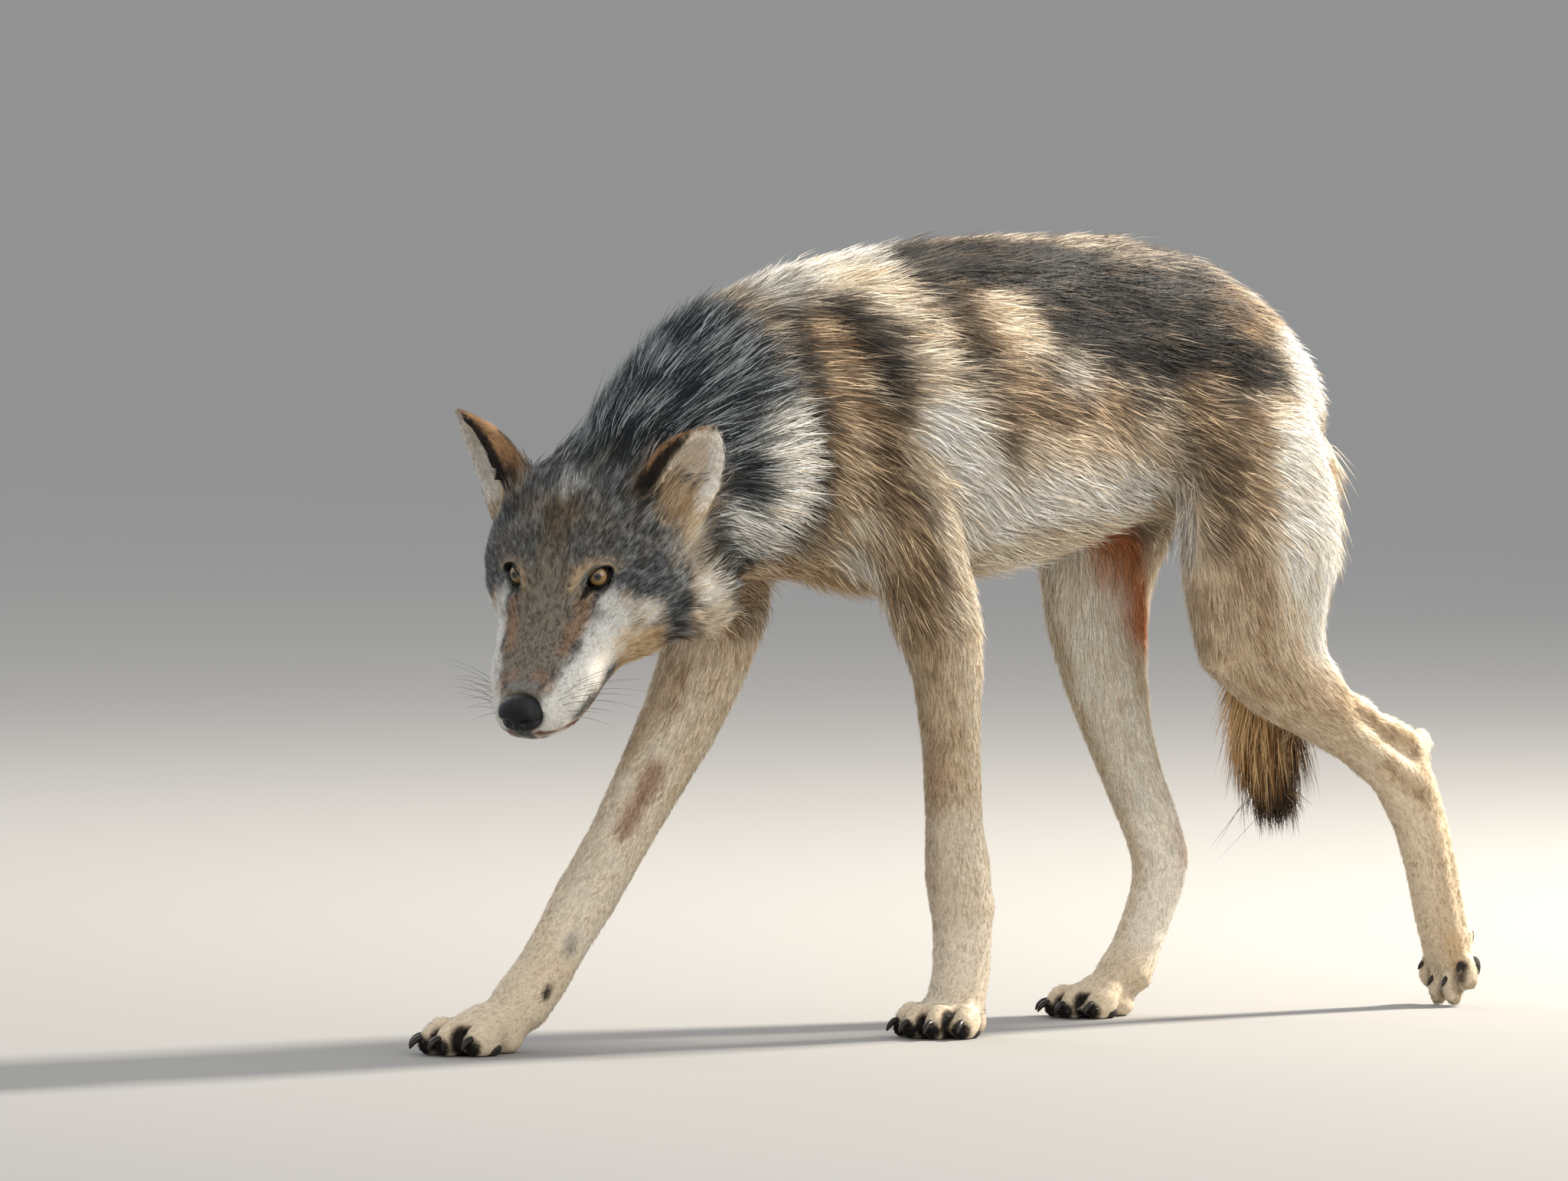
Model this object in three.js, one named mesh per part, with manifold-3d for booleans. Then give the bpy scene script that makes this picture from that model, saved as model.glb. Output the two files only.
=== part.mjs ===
// A grey wolf at life size, walking with its head low and turned a little to its left.
// The solids reach out to the tips of the coat and are parted by thin cuts into head, jaw, neck, trunk, tail,
// and the lengths of each leg. Eyes, nose and claws are pieces of their own.
//
// Millimetres. The wolf heads towards -X, its left side faces -Y, and +Z is up.
// While it is modelled, the floor is z = 0, y = 0 is the middle of the trunk and x = 0 is level with the breast.

import * as THREE from "three";
import { mergeVertices } from "three/addons/utils/BufferGeometryUtils.js";
import Module from "manifold-3d";

const wasm = await Module();
wasm.setup();

// ---- Driving dimensions ----

const GAP = 0.4; // air left between neighbouring pieces
const FAR = 3000; // side of the boxes that stand for half spaces
const deg = THREE.MathUtils.degToRad;

const LEFT = -1; // side factors: y = side * distance from the middle
const RIGHT = 1;

const HEAD_AT = new THREE.Vector3(-308, -30, 458); // midpoint between the pupils
const HEAD_PITCH = deg(42.5); // muzzle below the horizontal
const HEAD_YAW = deg(23); // muzzle turned to the wolf's left

const EYE_RADIUS = 12.5;
const PUPIL_OFFSET = 46.5; // from the middle of the face to each pupil
const GAZE_OUT = deg(33); // each eye looks this far outwards of the muzzle
const GAZE_UP = deg(24); // and this far above its line
const NOSE_AT = [-139, 0, -43]; // in the head's own frame
const NOSE_SIZE = [15, 23, 19];

const FORELEG_CUT = 405; // height of the cut above each elbow
const THIGH_CUT = 468; // height of the cut across each thigh

// ---- Shape helpers ----

/** The signed power that turns a circle into a superellipse. */
function bulge(value, squareness) {
  return Math.sign(value) * Math.abs(value) ** (2 / squareness);
}

/** One section of a loft: its centre, then its half width and its reach over and under the centre line. */
function section(x, y, z, wide, over, under) {
  return { at: new THREE.Vector3(x, y, z), size: new THREE.Vector3(wide, over, under) };
}

/**
 * A closed skin through sections placed along a smooth line. "Wide" runs across the body, and "over" lies on the side
 * of the line's direction crossed with the across axis: the back of a body lofted nose to tail, the rear of a leg
 * lofted downwards. Its upper half is a superellipse of its own power, from narrow (2 and less) to boxy, which may
 * change from section to section. Each end closes in a dome.
 */
function loft(sections, options = {}) {
  const { around = 14, perSection = 1, square = 2.15, peak = [square], grow = 0, dome = 12 } = options;
  const peakAt = (t) => peak[Math.round(t * (peak.length - 1))];
  const across = options.across ?? new THREE.Vector3(0, 1, 0);
  const line = new THREE.CatmullRomCurve3(sections.map((s) => s.at), false, "centripetal");
  const sizes = new THREE.CatmullRomCurve3(sections.map((s) => s.size), false, "centripetal");
  const steps = (sections.length - 1) * perSection;
  const positions = [];

  const addRing = (centre, size, direction, shrink, crown) => {
    const side = across.clone().addScaledVector(direction, -across.dot(direction)).normalize();
    const over = direction.clone().cross(side);
    for (let k = 0; k < around; k++) {
      const angle = (2 * Math.PI * k) / around;
      const power = angle < Math.PI ? crown : square;
      const [c, s] = [bulge(Math.cos(angle), power), bulge(Math.sin(angle), power)];
      const reach = (s > 0 ? size.y : size.z) + grow;
      const point = centre.clone().addScaledVector(side, c * (size.x + grow) * shrink);
      point.addScaledVector(over, s * reach * shrink);
      positions.push(point.x, point.y, point.z);
    }
  };

  const domeRings = (dome > 13 ? [62, 32] : [45]).map(deg);
  const ends = [0, 1].map((t) => ({ at: line.getPoint(t), size: sizes.getPoint(t), way: line.getTangent(t) }));
  for (const angle of domeRings) {
    const centre = ends[0].at.clone().addScaledVector(ends[0].way, -(dome + grow) * Math.sin(angle));
    addRing(centre, ends[0].size, ends[0].way, Math.cos(angle), peakAt(0));
  }
  for (let i = 0; i <= steps; i++) {
    const t = i / steps;
    addRing(line.getPoint(t), sizes.getPoint(t), line.getTangent(t), 1, peakAt(t));
  }
  for (const angle of domeRings.toReversed()) {
    const centre = ends[1].at.clone().addScaledVector(ends[1].way, (dome + grow) * Math.sin(angle));
    addRing(centre, ends[1].size, ends[1].way, Math.cos(angle), peakAt(1));
  }
  const firstPole = positions.length / 3;
  ends.forEach(({ at, way }, i) => {
    const pole = at.clone().addScaledVector(way, (i ? 1 : -1) * (dome + grow));
    positions.push(pole.x, pole.y, pole.z);
  });

  const faces = [];
  const rings = firstPole / around;
  for (let k = 0; k < around; k++) {
    const next = (k + 1) % around;
    faces.push(firstPole, next, k);
    for (let r = 0; r < rings - 1; r++) {
      const [a, b] = [r * around + k, r * around + next];
      faces.push(a, b, a + around, b, b + around, a + around);
    }
    const last = (rings - 1) * around;
    faces.push(firstPole + 1, last + k, last + next);
  }
  const geometry = new THREE.BufferGeometry();
  geometry.setAttribute("position", new THREE.Float32BufferAttribute(positions, 3));
  return geometry.setIndex(faces);
}

/** A closed geometry as a solid that can be joined and cut. */
function solid(geometry) {
  const bare = geometry.clone();
  bare.deleteAttribute("normal");
  bare.deleteAttribute("uv");
  const merged = mergeVertices(bare, 1e-3);
  const vertProperties = new Float32Array(merged.attributes.position.array);
  return new wasm.Manifold(new wasm.Mesh({ numProp: 3, vertProperties, triVerts: new Uint32Array(merged.index.array) }));
}

/** A solid back as a geometry with flat faces. */
function geometryOf(body) {
  const mesh = body.getMesh();
  const geometry = new THREE.BufferGeometry();
  geometry.setAttribute("position", new THREE.BufferAttribute(new Float32Array(mesh.vertProperties), 3));
  geometry.setIndex(new THREE.BufferAttribute(new Uint32Array(mesh.triVerts), 1));
  return geometry;
}

/** The joined solid of several. */
function join(...bodies) {
  return bodies.reduce((sum, body) => sum.add(body));
}

/** The largest separate body of a solid, without the crumbs that a cut can leave. */
function largest(body) {
  return body.decompose().reduce((best, piece) => (piece.volume() > best.volume() ? piece : best));
}

/** A ball stretched to three radii, turned and placed by a matrix. */
function ellipsoid(matrix, centre, radii, turn = [0, 0, 0], segments = [10, 7]) {
  const geometry = new THREE.SphereGeometry(1, ...segments).rotateX(Math.PI / 2).scale(...radii);
  geometry.applyMatrix4(new THREE.Matrix4().makeRotationFromEuler(new THREE.Euler(...turn, "ZYX")));
  return solid(geometry.translate(...centre).applyMatrix4(matrix));
}

/** Everything on the side of a plane that its normal points to. */
function halfSpace(point, normal) {
  const way = new THREE.Vector3(...normal).normalize();
  const box = new THREE.BoxGeometry(FAR, FAR, FAR).translate(0, 0, FAR / 2);
  box.applyQuaternion(new THREE.Quaternion().setFromUnitVectors(new THREE.Vector3(0, 0, 1), way));
  return solid(box.translate(...point));
}

/** Cuts a solid along a plane and gives [the part ahead of it, the part behind it], with a gap between. */
function part(body, point, normal) {
  const way = new THREE.Vector3(...normal).normalize();
  const at = new THREE.Vector3(...point);
  const ahead = halfSpace(at.clone().addScaledVector(way, GAP / 2).toArray(), way.toArray());
  const behind = halfSpace(at.clone().addScaledVector(way, -GAP / 2).toArray(), way.clone().negate().toArray());
  return [largest(body.intersect(ahead)), largest(body.intersect(behind))];
}

const aboveFloor = halfSpace([0, 0, 0], [0, 0, 1]);

// ---- Trunk, neck and tail ----

/** The trunk from the breast to the rump: deep, narrow chest, tucked-up loin, sloping croup. */
function trunkBody(grow = 0) {
  const sections = [
    section(-66, 0, 556, 62, 84, 92),
    section(-30, 0, 572, 90, 134, 140),
    section(30, 0, 588, 108, 163, 166),
    section(105, 0, 595, 118, 167, 177),
    section(185, 0, 600, 122, 169, 172),
    section(265, 0, 605, 117, 167, 164),
    section(345, 0, 614, 106, 156, 156),
    section(420, 0, 624, 98, 143, 144),
    section(500, 0, 622, 99, 121, 138),
    section(560, 0, 608, 94, 97, 124),
    section(610, 0, 588, 78, 64, 100),
    section(640, 0, 568, 56, 42, 62),
  ];
  return solid(loft(sections, { around: 18, peak: [2], square: 2.2, dome: 14, grow }));
}

/** The neck and mane, from the back of the skull down into the shoulders. */
function neckBody(grow = 0) {
  const sections = [
    section(-204, -12, 514, 82, 86, 98),
    section(-140, -6, 548, 103, 115, 114),
    section(-70, 0, 574, 106, 144, 134),
    section(26, 0, 592, 106, 161, 150),
  ];
  return solid(loft(sections, { around: 18, perSection: 2, peak: [1.85], square: 2.2, dome: 20, grow }));
}

/** The tail, tucked down behind the thighs with a bushy end. */
function tailBody() {
  const sections = [
    section(636, 0, 600, 30, 30, 30),
    section(664, 0, 545, 34, 34, 36),
    section(662, 0, 470, 37, 38, 40),
    section(636, 0, 385, 38, 42, 42),
    section(616, 0, 322, 42, 44, 46),
    section(616, 0, 268, 43, 45, 46),
    section(624, 0, 222, 28, 30, 28),
  ];
  return solid(loft(sections, { around: 12, square: 2, dome: 22 }));
}

// ---- Head: its own frame has +X towards the nape, +Y to the wolf's right and +Z up, from between the pupils ----

const headFrame = new THREE.Matrix4()
  .makeRotationFromEuler(new THREE.Euler(0, -HEAD_PITCH, HEAD_YAW, "ZYX"))
  .setPosition(HEAD_AT);

/** Skull, muzzle and cheek ruffs, without the cuts for eyes, nose and mouth. */
function skull(grow = 0) {
  const sections = [
    section(-132, 0, -57, 35, 29, 25),
    section(-114, 0, -59, 47, 36, 34),
    section(-86, 0, -58, 52, 39, 42),
    section(-56, 0, -55, 54, 43, 51),
    section(-28, 0, -50, 64, 51, 61),
    section(-6, 0, -45, 79, 60, 77),
    section(16, 0, -41, 95, 67, 94),
    section(44, 0, -38, 105, 76, 110),
    section(76, 0, -34, 105, 82, 117),
    section(108, 0, -34, 102, 82, 115),
    section(138, 0, -36, 92, 76, 104),
  ];
  const peak = [2.5, 2.5, 2.5, 2.3, 2, 1.75, 1.75, 2.1, 2.3, 2.3, 2.2];
  const form = loft(sections, { around: 20, peak, square: 2.3, dome: 16, grow });
  const ruffs = [LEFT, RIGHT].map((side) =>
    ellipsoid(headFrame, [84, side * 78, -101], [51 + grow, 52 + grow, 49 + grow], [0, deg(-10), 0], [10, 7]),
  );
  return join(solid(form.applyMatrix4(headFrame)), ...ruffs);
}

/** Where an eyeball sits: its centre and the way it looks, in the head's frame. */
function eyePlace(side) {
  const level = Math.cos(GAZE_UP);
  const gaze = new THREE.Vector3(-Math.cos(GAZE_OUT) * level, side * Math.sin(GAZE_OUT) * level, Math.sin(GAZE_UP));
  const centre = new THREE.Vector3(0, side * PUPIL_OFFSET, 0).addScaledVector(gaze, -EYE_RADIUS + 1);
  return { centre, gaze };
}

/** The hollow of the face that an eye looks out of. */
function orbit(side) {
  const { centre, gaze } = eyePlace(side);
  const middle = centre.clone().addScaledVector(gaze, 29).toArray();
  return ellipsoid(headFrame, middle, [24, 22, 17], [0, GAZE_UP, -side * GAZE_OUT], [11, 7]);
}

/** One eyeball. */
function eyeball(side, grow = 0) {
  const radius = EYE_RADIUS + grow;
  return ellipsoid(headFrame, eyePlace(side).centre.toArray(), [radius, radius, radius], [0, 0, 0], [12, 8]);
}

/** The almond slit between the lids, as a prism along the gaze, raised at its outer corner. */
function lidOpening(side) {
  const [halfLength, halfHeight, slant, depth] = [15.5, 8.2, deg(31), 40];
  const almond = new THREE.Shape().moveTo(-halfLength, 0);
  almond.quadraticCurveTo(0, 2 * halfHeight, halfLength, 0);
  almond.quadraticCurveTo(0, -2 * halfHeight, -halfLength, 0);
  const prism = new THREE.ExtrudeGeometry(almond, { depth, bevelEnabled: false, curveSegments: 3 });
  const { centre, gaze } = eyePlace(side);
  const outward = new THREE.Vector3(0, side, 0).addScaledVector(gaze, -side * gaze.y).normalize();
  const lengthwise = outward.applyAxisAngle(gaze, -side * slant);
  const basis = new THREE.Matrix4().makeBasis(lengthwise, gaze.clone().cross(lengthwise), gaze);
  return solid(prism.applyMatrix4(basis.setPosition(centre)).applyMatrix4(headFrame));
}

/** The nose leather with its two nostrils. */
function noseLeather(grow = 0) {
  const pad = ellipsoid(headFrame, NOSE_AT, NOSE_SIZE.map((r) => r + grow), [0, deg(24), 0], [11, 8]);
  if (grow) return pad;
  const nostrils = [LEFT, RIGHT].map((side) =>
    ellipsoid(headFrame, [NOSE_AT[0] - 12, side * 11, NOSE_AT[2] - 3], [6, 5, 3.6], [side * deg(28), 0, 0], [6, 5]),
  );
  return pad.subtract(join(...nostrils));
}

/** One ear: a cupped shell that leans out and back, opening forwards and outwards. */
function ear(side) {
  const root = new THREE.Vector3(92, side * 90, 12);
  const tip = new THREE.Vector3(147, side * 137, side === LEFT ? 62 : 70);
  const opening = new THREE.Vector3(-0.81, side * 0.544, 0.22);
  const rise = tip.clone().sub(root);
  const across = opening.clone().cross(rise).normalize();
  const shell = (shift, thin, back) =>
    [
      [-0.2, 42, 32],
      [0.1, 44, 32],
      [0.4, 39, 33],
      [0.65, 30, 24],
      [0.86, 18, 13],
      [0.98, 9, 6],
    ].map(([t, wide, deep]) => {
      const at = root.clone().addScaledVector(rise, t).addScaledVector(opening, shift - 5 * Math.sin(Math.PI * t));
      return section(at.x, at.y, at.z, wide - thin, 8, back ?? deep);
    });
  const options = { across, around: 10, square: 2, dome: 5 };
  const outer = solid(loft(shell(0, 0), options).applyMatrix4(headFrame));
  const hollow = solid(loft(shell(11, 7, 17), { ...options, dome: 1 }).applyMatrix4(headFrame));
  return outer.subtract(hollow);
}

/** The half space beyond a plane of the head's frame, moved along its normal. */
function headSide(point, normal, shift) {
  const way = new THREE.Vector3(...normal).transformDirection(headFrame);
  const at = new THREE.Vector3(...point).applyMatrix4(headFrame).addScaledVector(way, shift);
  return halfSpace(at.toArray(), way.toArray());
}

/** Below the line of the mouth and ahead of its corners, drawn in by an amount. */
function jawRegion(inset) {
  return headSide([-118, 0, -67], [0.055, 0, -1], inset).intersect(headSide([-40, 0, 0], [-1, 0, 0], inset));
}

// ---- Legs ----

/** Left foreleg, upright under the shoulder. */
const leftForeleg = [
  section(92, -66, 600, 40, 44, 46),
  section(86, -76, 530, 48, 58, 60),
  section(100, -78, 465, 43, 54, 56),
  section(132, -74, 405, 37, 45, 50),
  section(151, -68, 350, 32, 36, 42),
  section(160, -63, 280, 29, 30, 34),
  section(167, -60, 210, 28, 28, 35),
  section(172, -60, 155, 31, 30, 40),
  section(176, -60, 105, 28, 30, 35),
  section(174, -60, 62, 29, 28, 32),
  section(168, -60, 30, 32, 24, 32),
];

/** Right foreleg, stretched forward. */
const rightForeleg = [
  section(62, 66, 600, 40, 44, 46),
  section(28, 76, 545, 47, 58, 58),
  section(4, 80, 470, 43, 55, 64),
  section(-14, 79, 405, 38, 50, 60),
  section(-36, 74, 356, 34, 45, 57),
  section(-72, 68, 303, 31, 40, 50),
  section(-107, 64, 258, 29, 35, 43),
  section(-156, 60, 195, 27, 31, 36),
  section(-198, 59, 143, 29, 32, 33),
  section(-230, 57, 104, 28, 29, 30),
  section(-256, 55, 70, 29, 28, 31),
  section(-284, 54, 42, 32, 28, 32),
  section(-306, 53, 26, 28, 20, 24),
];

/** Left hind leg, pushing off behind the body. */
const leftHindleg = [
  section(552, -58, 625, 34, 52, 64),
  section(532, -76, 570, 46, 86, 92),
  section(526, -86, 500, 46, 102, 100),
  section(526, -90, 435, 42, 106, 97),
  section(536, -88, 378, 38, 86, 88),
  section(572, -84, 332, 33, 52, 55),
  section(622, -79, 298, 29, 34, 38),
  section(674, -72, 268, 26, 26, 32),
  section(726, -66, 235, 26, 42, 34),
  section(756, -62, 190, 24, 32, 31),
  section(775, -60, 140, 24, 30, 29),
  section(790, -57, 90, 25, 28, 28),
  section(803, -55, 52, 26, 26, 26),
];

/** Right hind leg, set forward under the belly. */
const rightHindleg = [
  section(546, 58, 625, 34, 52, 60),
  section(518, 76, 570, 46, 84, 84),
  section(486, 84, 500, 46, 88, 84),
  section(466, 85, 440, 42, 76, 70),
  section(464, 80, 385, 38, 62, 60),
  section(470, 74, 330, 34, 50, 50),
  section(481, 67, 276, 30, 38, 39),
  section(495, 61, 230, 27, 33, 33),
  section(513, 57, 182, 26, 35, 30),
  section(523, 55, 150, 27, 36, 29),
  section(519, 54, 122, 25, 30, 27),
  section(507, 52, 93, 25, 23, 27),
  section(491, 51, 60, 27, 21, 28),
  section(474, 50, 34, 31, 24, 32),
];

/** The point of the heel above each hock: [centre, radii, pitch]. */
const leftHeel = [[755, -66, 256], [15, 16, 21], deg(12)];
const rightHeel = [[531, 57, 176], [10, 15, 22], deg(10)];

/**
 * A leg parted level across, then at the wrist or hock. Gives the root that stays with the trunk, the upper leg, the
 * lower leg, and the whole leg grown by the gap.
 */
function legPieces(sections, trunkCut, jointAt, jointWay, heel = null) {
  const shape = (grow) => {
    const leg = solid(loft(sections, { around: 10, square: 2.1, dome: 10, grow }));
    if (!heel) return leg;
    const [at, radii, pitch] = heel;
    return join(leg, ellipsoid(new THREE.Matrix4(), at, radii.map((r) => r + grow), [0, pitch, 0], [8, 6]));
  };
  const [root, free] = part(shape(0), [0, 0, trunkCut], [0, 0, 1]);
  const [upper, lower] = part(free.subtract(trunkBody(GAP)), jointAt, jointWay);
  return { root, upper, lower, grown: shape(GAP) };
}

/** The toes of a paw: [back from the paw's centre, outward, splay], inner pair longest. */
const TOES = [
  { name: "inner", x: -24, y: -31, splay: 15 },
  { name: "mid_inner", x: -42, y: -11.5, splay: 4 },
  { name: "mid_outer", x: -42, y: 11.5, splay: -4 },
  { name: "outer", x: -24, y: 31, splay: -15 },
];
const TOE_SIZE = [27, 12.5, 15.5];

/** Pads and toes of one paw, in the frame of the given matrix: toes towards -X, sole at z = 0. */
function pawBody(frame, scale, grow = 0) {
  const size = (radii) => radii.map((r) => r * scale + grow);
  const place = (point) => point.map((v) => v * scale);
  const pieces = TOES.map((toe) =>
    ellipsoid(frame, place([toe.x, toe.y, 14]), size(TOE_SIZE), [0, deg(-12), deg(toe.splay)], [7, 5]),
  );
  pieces.push(ellipsoid(frame, place([14, 0, 15]), size([27, 31, 19]), [0, 0, 0], [8, 5]));
  pieces.push(ellipsoid(frame, place([-4, 0, 26]), size([42, 34, 20]), [0, deg(-24), 0], [8, 5]));
  return join(...pieces);
}

/** One blunt claw, curving down from the end of a toe, tipped up by an angle where the toes hang. */
function claw(frame, scale, toe, lift) {
  const shape = loft(
    [
      section(0, 0, 3, 5, 5.4, 5.4),
      section(-17, 0, 3, 4.4, 4.6, 4.6),
      section(-23, 0, 0, 3, 3, 3),
      section(-28, 0, -5, 1.4, 1.4, 1.4),
    ],
    { around: 4, square: 2, dome: 1.5 },
  );
  shape.rotateY(lift).translate(-12, 0, 0).rotateZ(deg(toe.splay)).translate(toe.x, toe.y, 15);
  return solid(shape.scale(scale, scale, scale).applyMatrix4(frame));
}

/** A paw's frame: its centre on the floor, the way it points and how far its toes turn down. */
function pawFrame(x, y, z, yaw, pitch) {
  return new THREE.Matrix4().makeRotationFromEuler(new THREE.Euler(0, deg(pitch), deg(yaw), "ZYX")).setPosition(x, y, z);
}

const PAWS = {
  left_fore: { frame: pawFrame(160, -62, -1, 18, 0), scale: 1, clawLift: 0 },
  right_fore: { frame: pawFrame(-330, 52, -1, -2, 0), scale: 1.04, clawLift: 0 },
  left_hind: { frame: pawFrame(820, -55, 51, 4, -76), scale: 0.84, clawLift: deg(70) },
  right_hind: { frame: pawFrame(444, 50, -1, 0, 0), scale: 0.92, clawLift: 0 },
};

// ---- Materials ----

const paint = (color, roughness, metalness = 0) => new THREE.MeshStandardMaterial({ color, roughness, metalness });
const materials = {
  grey: () => paint(0x6f675c, 0.95),
  dark: () => paint(0x4a4a4c, 0.95),
  face: () => paint(0x7d6f60, 0.92),
  cream: () => paint(0xcdbb9f, 0.93),
  tail: () => paint(0x8a6547, 0.95),
  amber: () => paint(0xb98a35, 0.12),
  leather: () => paint(0x17171b, 0.45),
  horn: () => paint(0x1c1917, 0.4),
};

// ---- Assembly ----

const wolf = new THREE.Group();

/** Adds one solid to the wolf as a named mesh. */
function add(name, body, material) {
  const mesh = new THREE.Mesh(geometryOf(body), materials[material]());
  mesh.name = name;
  wolf.add(mesh);
}

const legs = {
  left_foreleg: legPieces(leftForeleg, FORELEG_CUT, [168, 0, 150], [0, 0, 1]),
  right_foreleg: legPieces(rightForeleg, FORELEG_CUT, [-199, 0, 146], [0.62, 0, 0.78]),
  left_hindleg: legPieces(leftHindleg, THIGH_CUT, [690, 0, 256], [-0.8, 0, 0.6], leftHeel),
  right_hindleg: legPieces(rightHindleg, THIGH_CUT, [516, 0, 205], [-0.1, 0, 1], rightHeel),
};

// The body is joined whole, then parted across the neck, behind the skull and along the mouth.
const whole = join(trunkBody(), neckBody(), skull(), ...Object.values(legs).map((leg) => leg.root));
const [front, trunk] = part(whole, [-75, 0, 580], [-0.95, 0, -0.3]);
const headAxis = new THREE.Vector3(-1, 0, 0).transformDirection(headFrame);
const napePoint = new THREE.Vector3(112, 0, 0).applyMatrix4(headFrame);
const [head, neck] = part(front, napePoint.toArray(), headAxis.toArray());

const eyes = [LEFT, RIGHT];
const sockets = join(...eyes.map((side) => join(eyeball(side, GAP), lidOpening(side), orbit(side))));
const faced = head.subtract(sockets).subtract(noseLeather(GAP));
add("head", largest(faced.subtract(jawRegion(-GAP / 2))), "face");
add("lower_jaw", largest(faced.intersect(jawRegion(GAP / 2))), "cream");
add("neck", neck, "dark");
add("trunk", trunk, "grey");

const grownBody = join(trunkBody(GAP), ...Object.values(legs).map((leg) => leg.grown));
add("tail", largest(tailBody().subtract(grownBody)), "tail");

const grownSkull = join(skull(GAP), neckBody(GAP));
for (const side of eyes) {
  const name = side === LEFT ? "left" : "right";
  add(`${name}_eye`, eyeball(side), "amber");
  add(`${name}_ear`, largest(ear(side).subtract(grownSkull)), "face");
}
add("nose", noseLeather(), "leather");

for (const [name, leg] of Object.entries(legs)) {
  const paw = PAWS[name.replace("leg", "")];
  const body = join(leg.lower, pawBody(paw.frame, paw.scale));
  const grown = join(leg.lower, pawBody(paw.frame, paw.scale, GAP));
  add(`${name}_upper`, leg.upper, "cream");
  add(name.replace("leg", "_paw"), largest(body.intersect(aboveFloor)), "cream");
  for (const toe of TOES) {
    const nail = claw(paw.frame, paw.scale, toe, paw.clawLift).subtract(grown).intersect(aboveFloor);
    add(`${name.replace("leg", "_claw")}_${toe.name}`, largest(nail), "horn");
  }
}

// The part's origin is the middle of its bounding box, on the floor.
const bounds = new THREE.Box3().setFromObject(wolf);
const middle = bounds.getCenter(new THREE.Vector3());
wolf.position.set(-middle.x, -middle.y, -bounds.min.z);

export default wolf;
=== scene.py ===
"""A grey wolf at life size, walking with its head low: skin, coat, eyes, nose, claws and whiskers."""

import logging
import math
from dataclasses import dataclass, field
from enum import Enum

import bmesh
import bpy
import numpy as np
from bmesh.types import BMesh
from bpy.types import ID, Material, Mesh, Node, NodeTree, Object
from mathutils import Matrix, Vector
from mathutils.bvhtree import BVHTree
from mathutils.kdtree import KDTree


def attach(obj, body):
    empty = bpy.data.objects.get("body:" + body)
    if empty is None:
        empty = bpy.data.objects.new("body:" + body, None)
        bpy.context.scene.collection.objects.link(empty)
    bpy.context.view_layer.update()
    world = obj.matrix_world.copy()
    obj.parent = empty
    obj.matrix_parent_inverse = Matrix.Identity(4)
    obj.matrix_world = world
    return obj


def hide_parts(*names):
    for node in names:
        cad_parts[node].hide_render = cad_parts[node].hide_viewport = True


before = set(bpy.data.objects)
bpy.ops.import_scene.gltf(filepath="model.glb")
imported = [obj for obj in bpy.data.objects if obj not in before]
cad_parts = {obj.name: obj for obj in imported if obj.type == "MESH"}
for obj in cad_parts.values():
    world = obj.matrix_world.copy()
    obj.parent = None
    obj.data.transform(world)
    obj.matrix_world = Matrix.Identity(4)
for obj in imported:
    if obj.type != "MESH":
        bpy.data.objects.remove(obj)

Array = np.ndarray
Triple = tuple[float, float, float]
LOG = logging.getLogger("wolf")
MM = 0.001
ORIGIN = np.array([-0.204718, -0.004153, 0.0])  # the solids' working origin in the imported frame, metres
LEFT = -1
RIGHT = 1
UP = np.array([0.0, 0.0, 1.0])


# ---- Small tools ----


def placed(points: object) -> Array:
    """Points of the solids' working frame, in millimetres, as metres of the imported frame."""
    return np.asarray(points, dtype=float) * MM + ORIGIN


def unit(vectors: Array) -> Array:
    """Vectors scaled to length one along the last axis."""
    return vectors / np.maximum(np.linalg.norm(vectors, axis=-1, keepdims=True), 1e-12)


def ramp(low: float, high: float, value: Array) -> Array:
    """A smooth step from 0 at low to 1 at high, which may lie below low."""
    t = np.clip((value - low) / (high - low), 0.0, 1.0)
    return t * t * (3.0 - 2.0 * t)


def hump(points: Array, centre: tuple, radii: tuple) -> Array:
    """A bell-shaped weight round a centre, with a radius along each axis."""
    return np.exp(-np.sum(((points - np.array(centre)) / np.array(radii)) ** 2, axis=1))


def outward(points: Array) -> Array:
    """Points with both sides of the body laid over one another: y is the distance from the middle."""
    return np.stack([points[:, 0], np.abs(points[:, 1]), points[:, 2]], axis=1)


def within(points: Array, low: tuple, high: tuple) -> Array:
    """Which points lie inside a box."""
    return np.all((points > low) & (points < high), axis=1)


def tone(code: str) -> Array:
    """A colour written as six hexadecimal digits, as linear light."""
    value = np.array([int(code[i : i + 2], 16) / 255.0 for i in (0, 2, 4)])
    return np.where(value <= 0.04045, value / 12.92, ((value + 0.055) / 1.055) ** 2.4)


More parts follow.
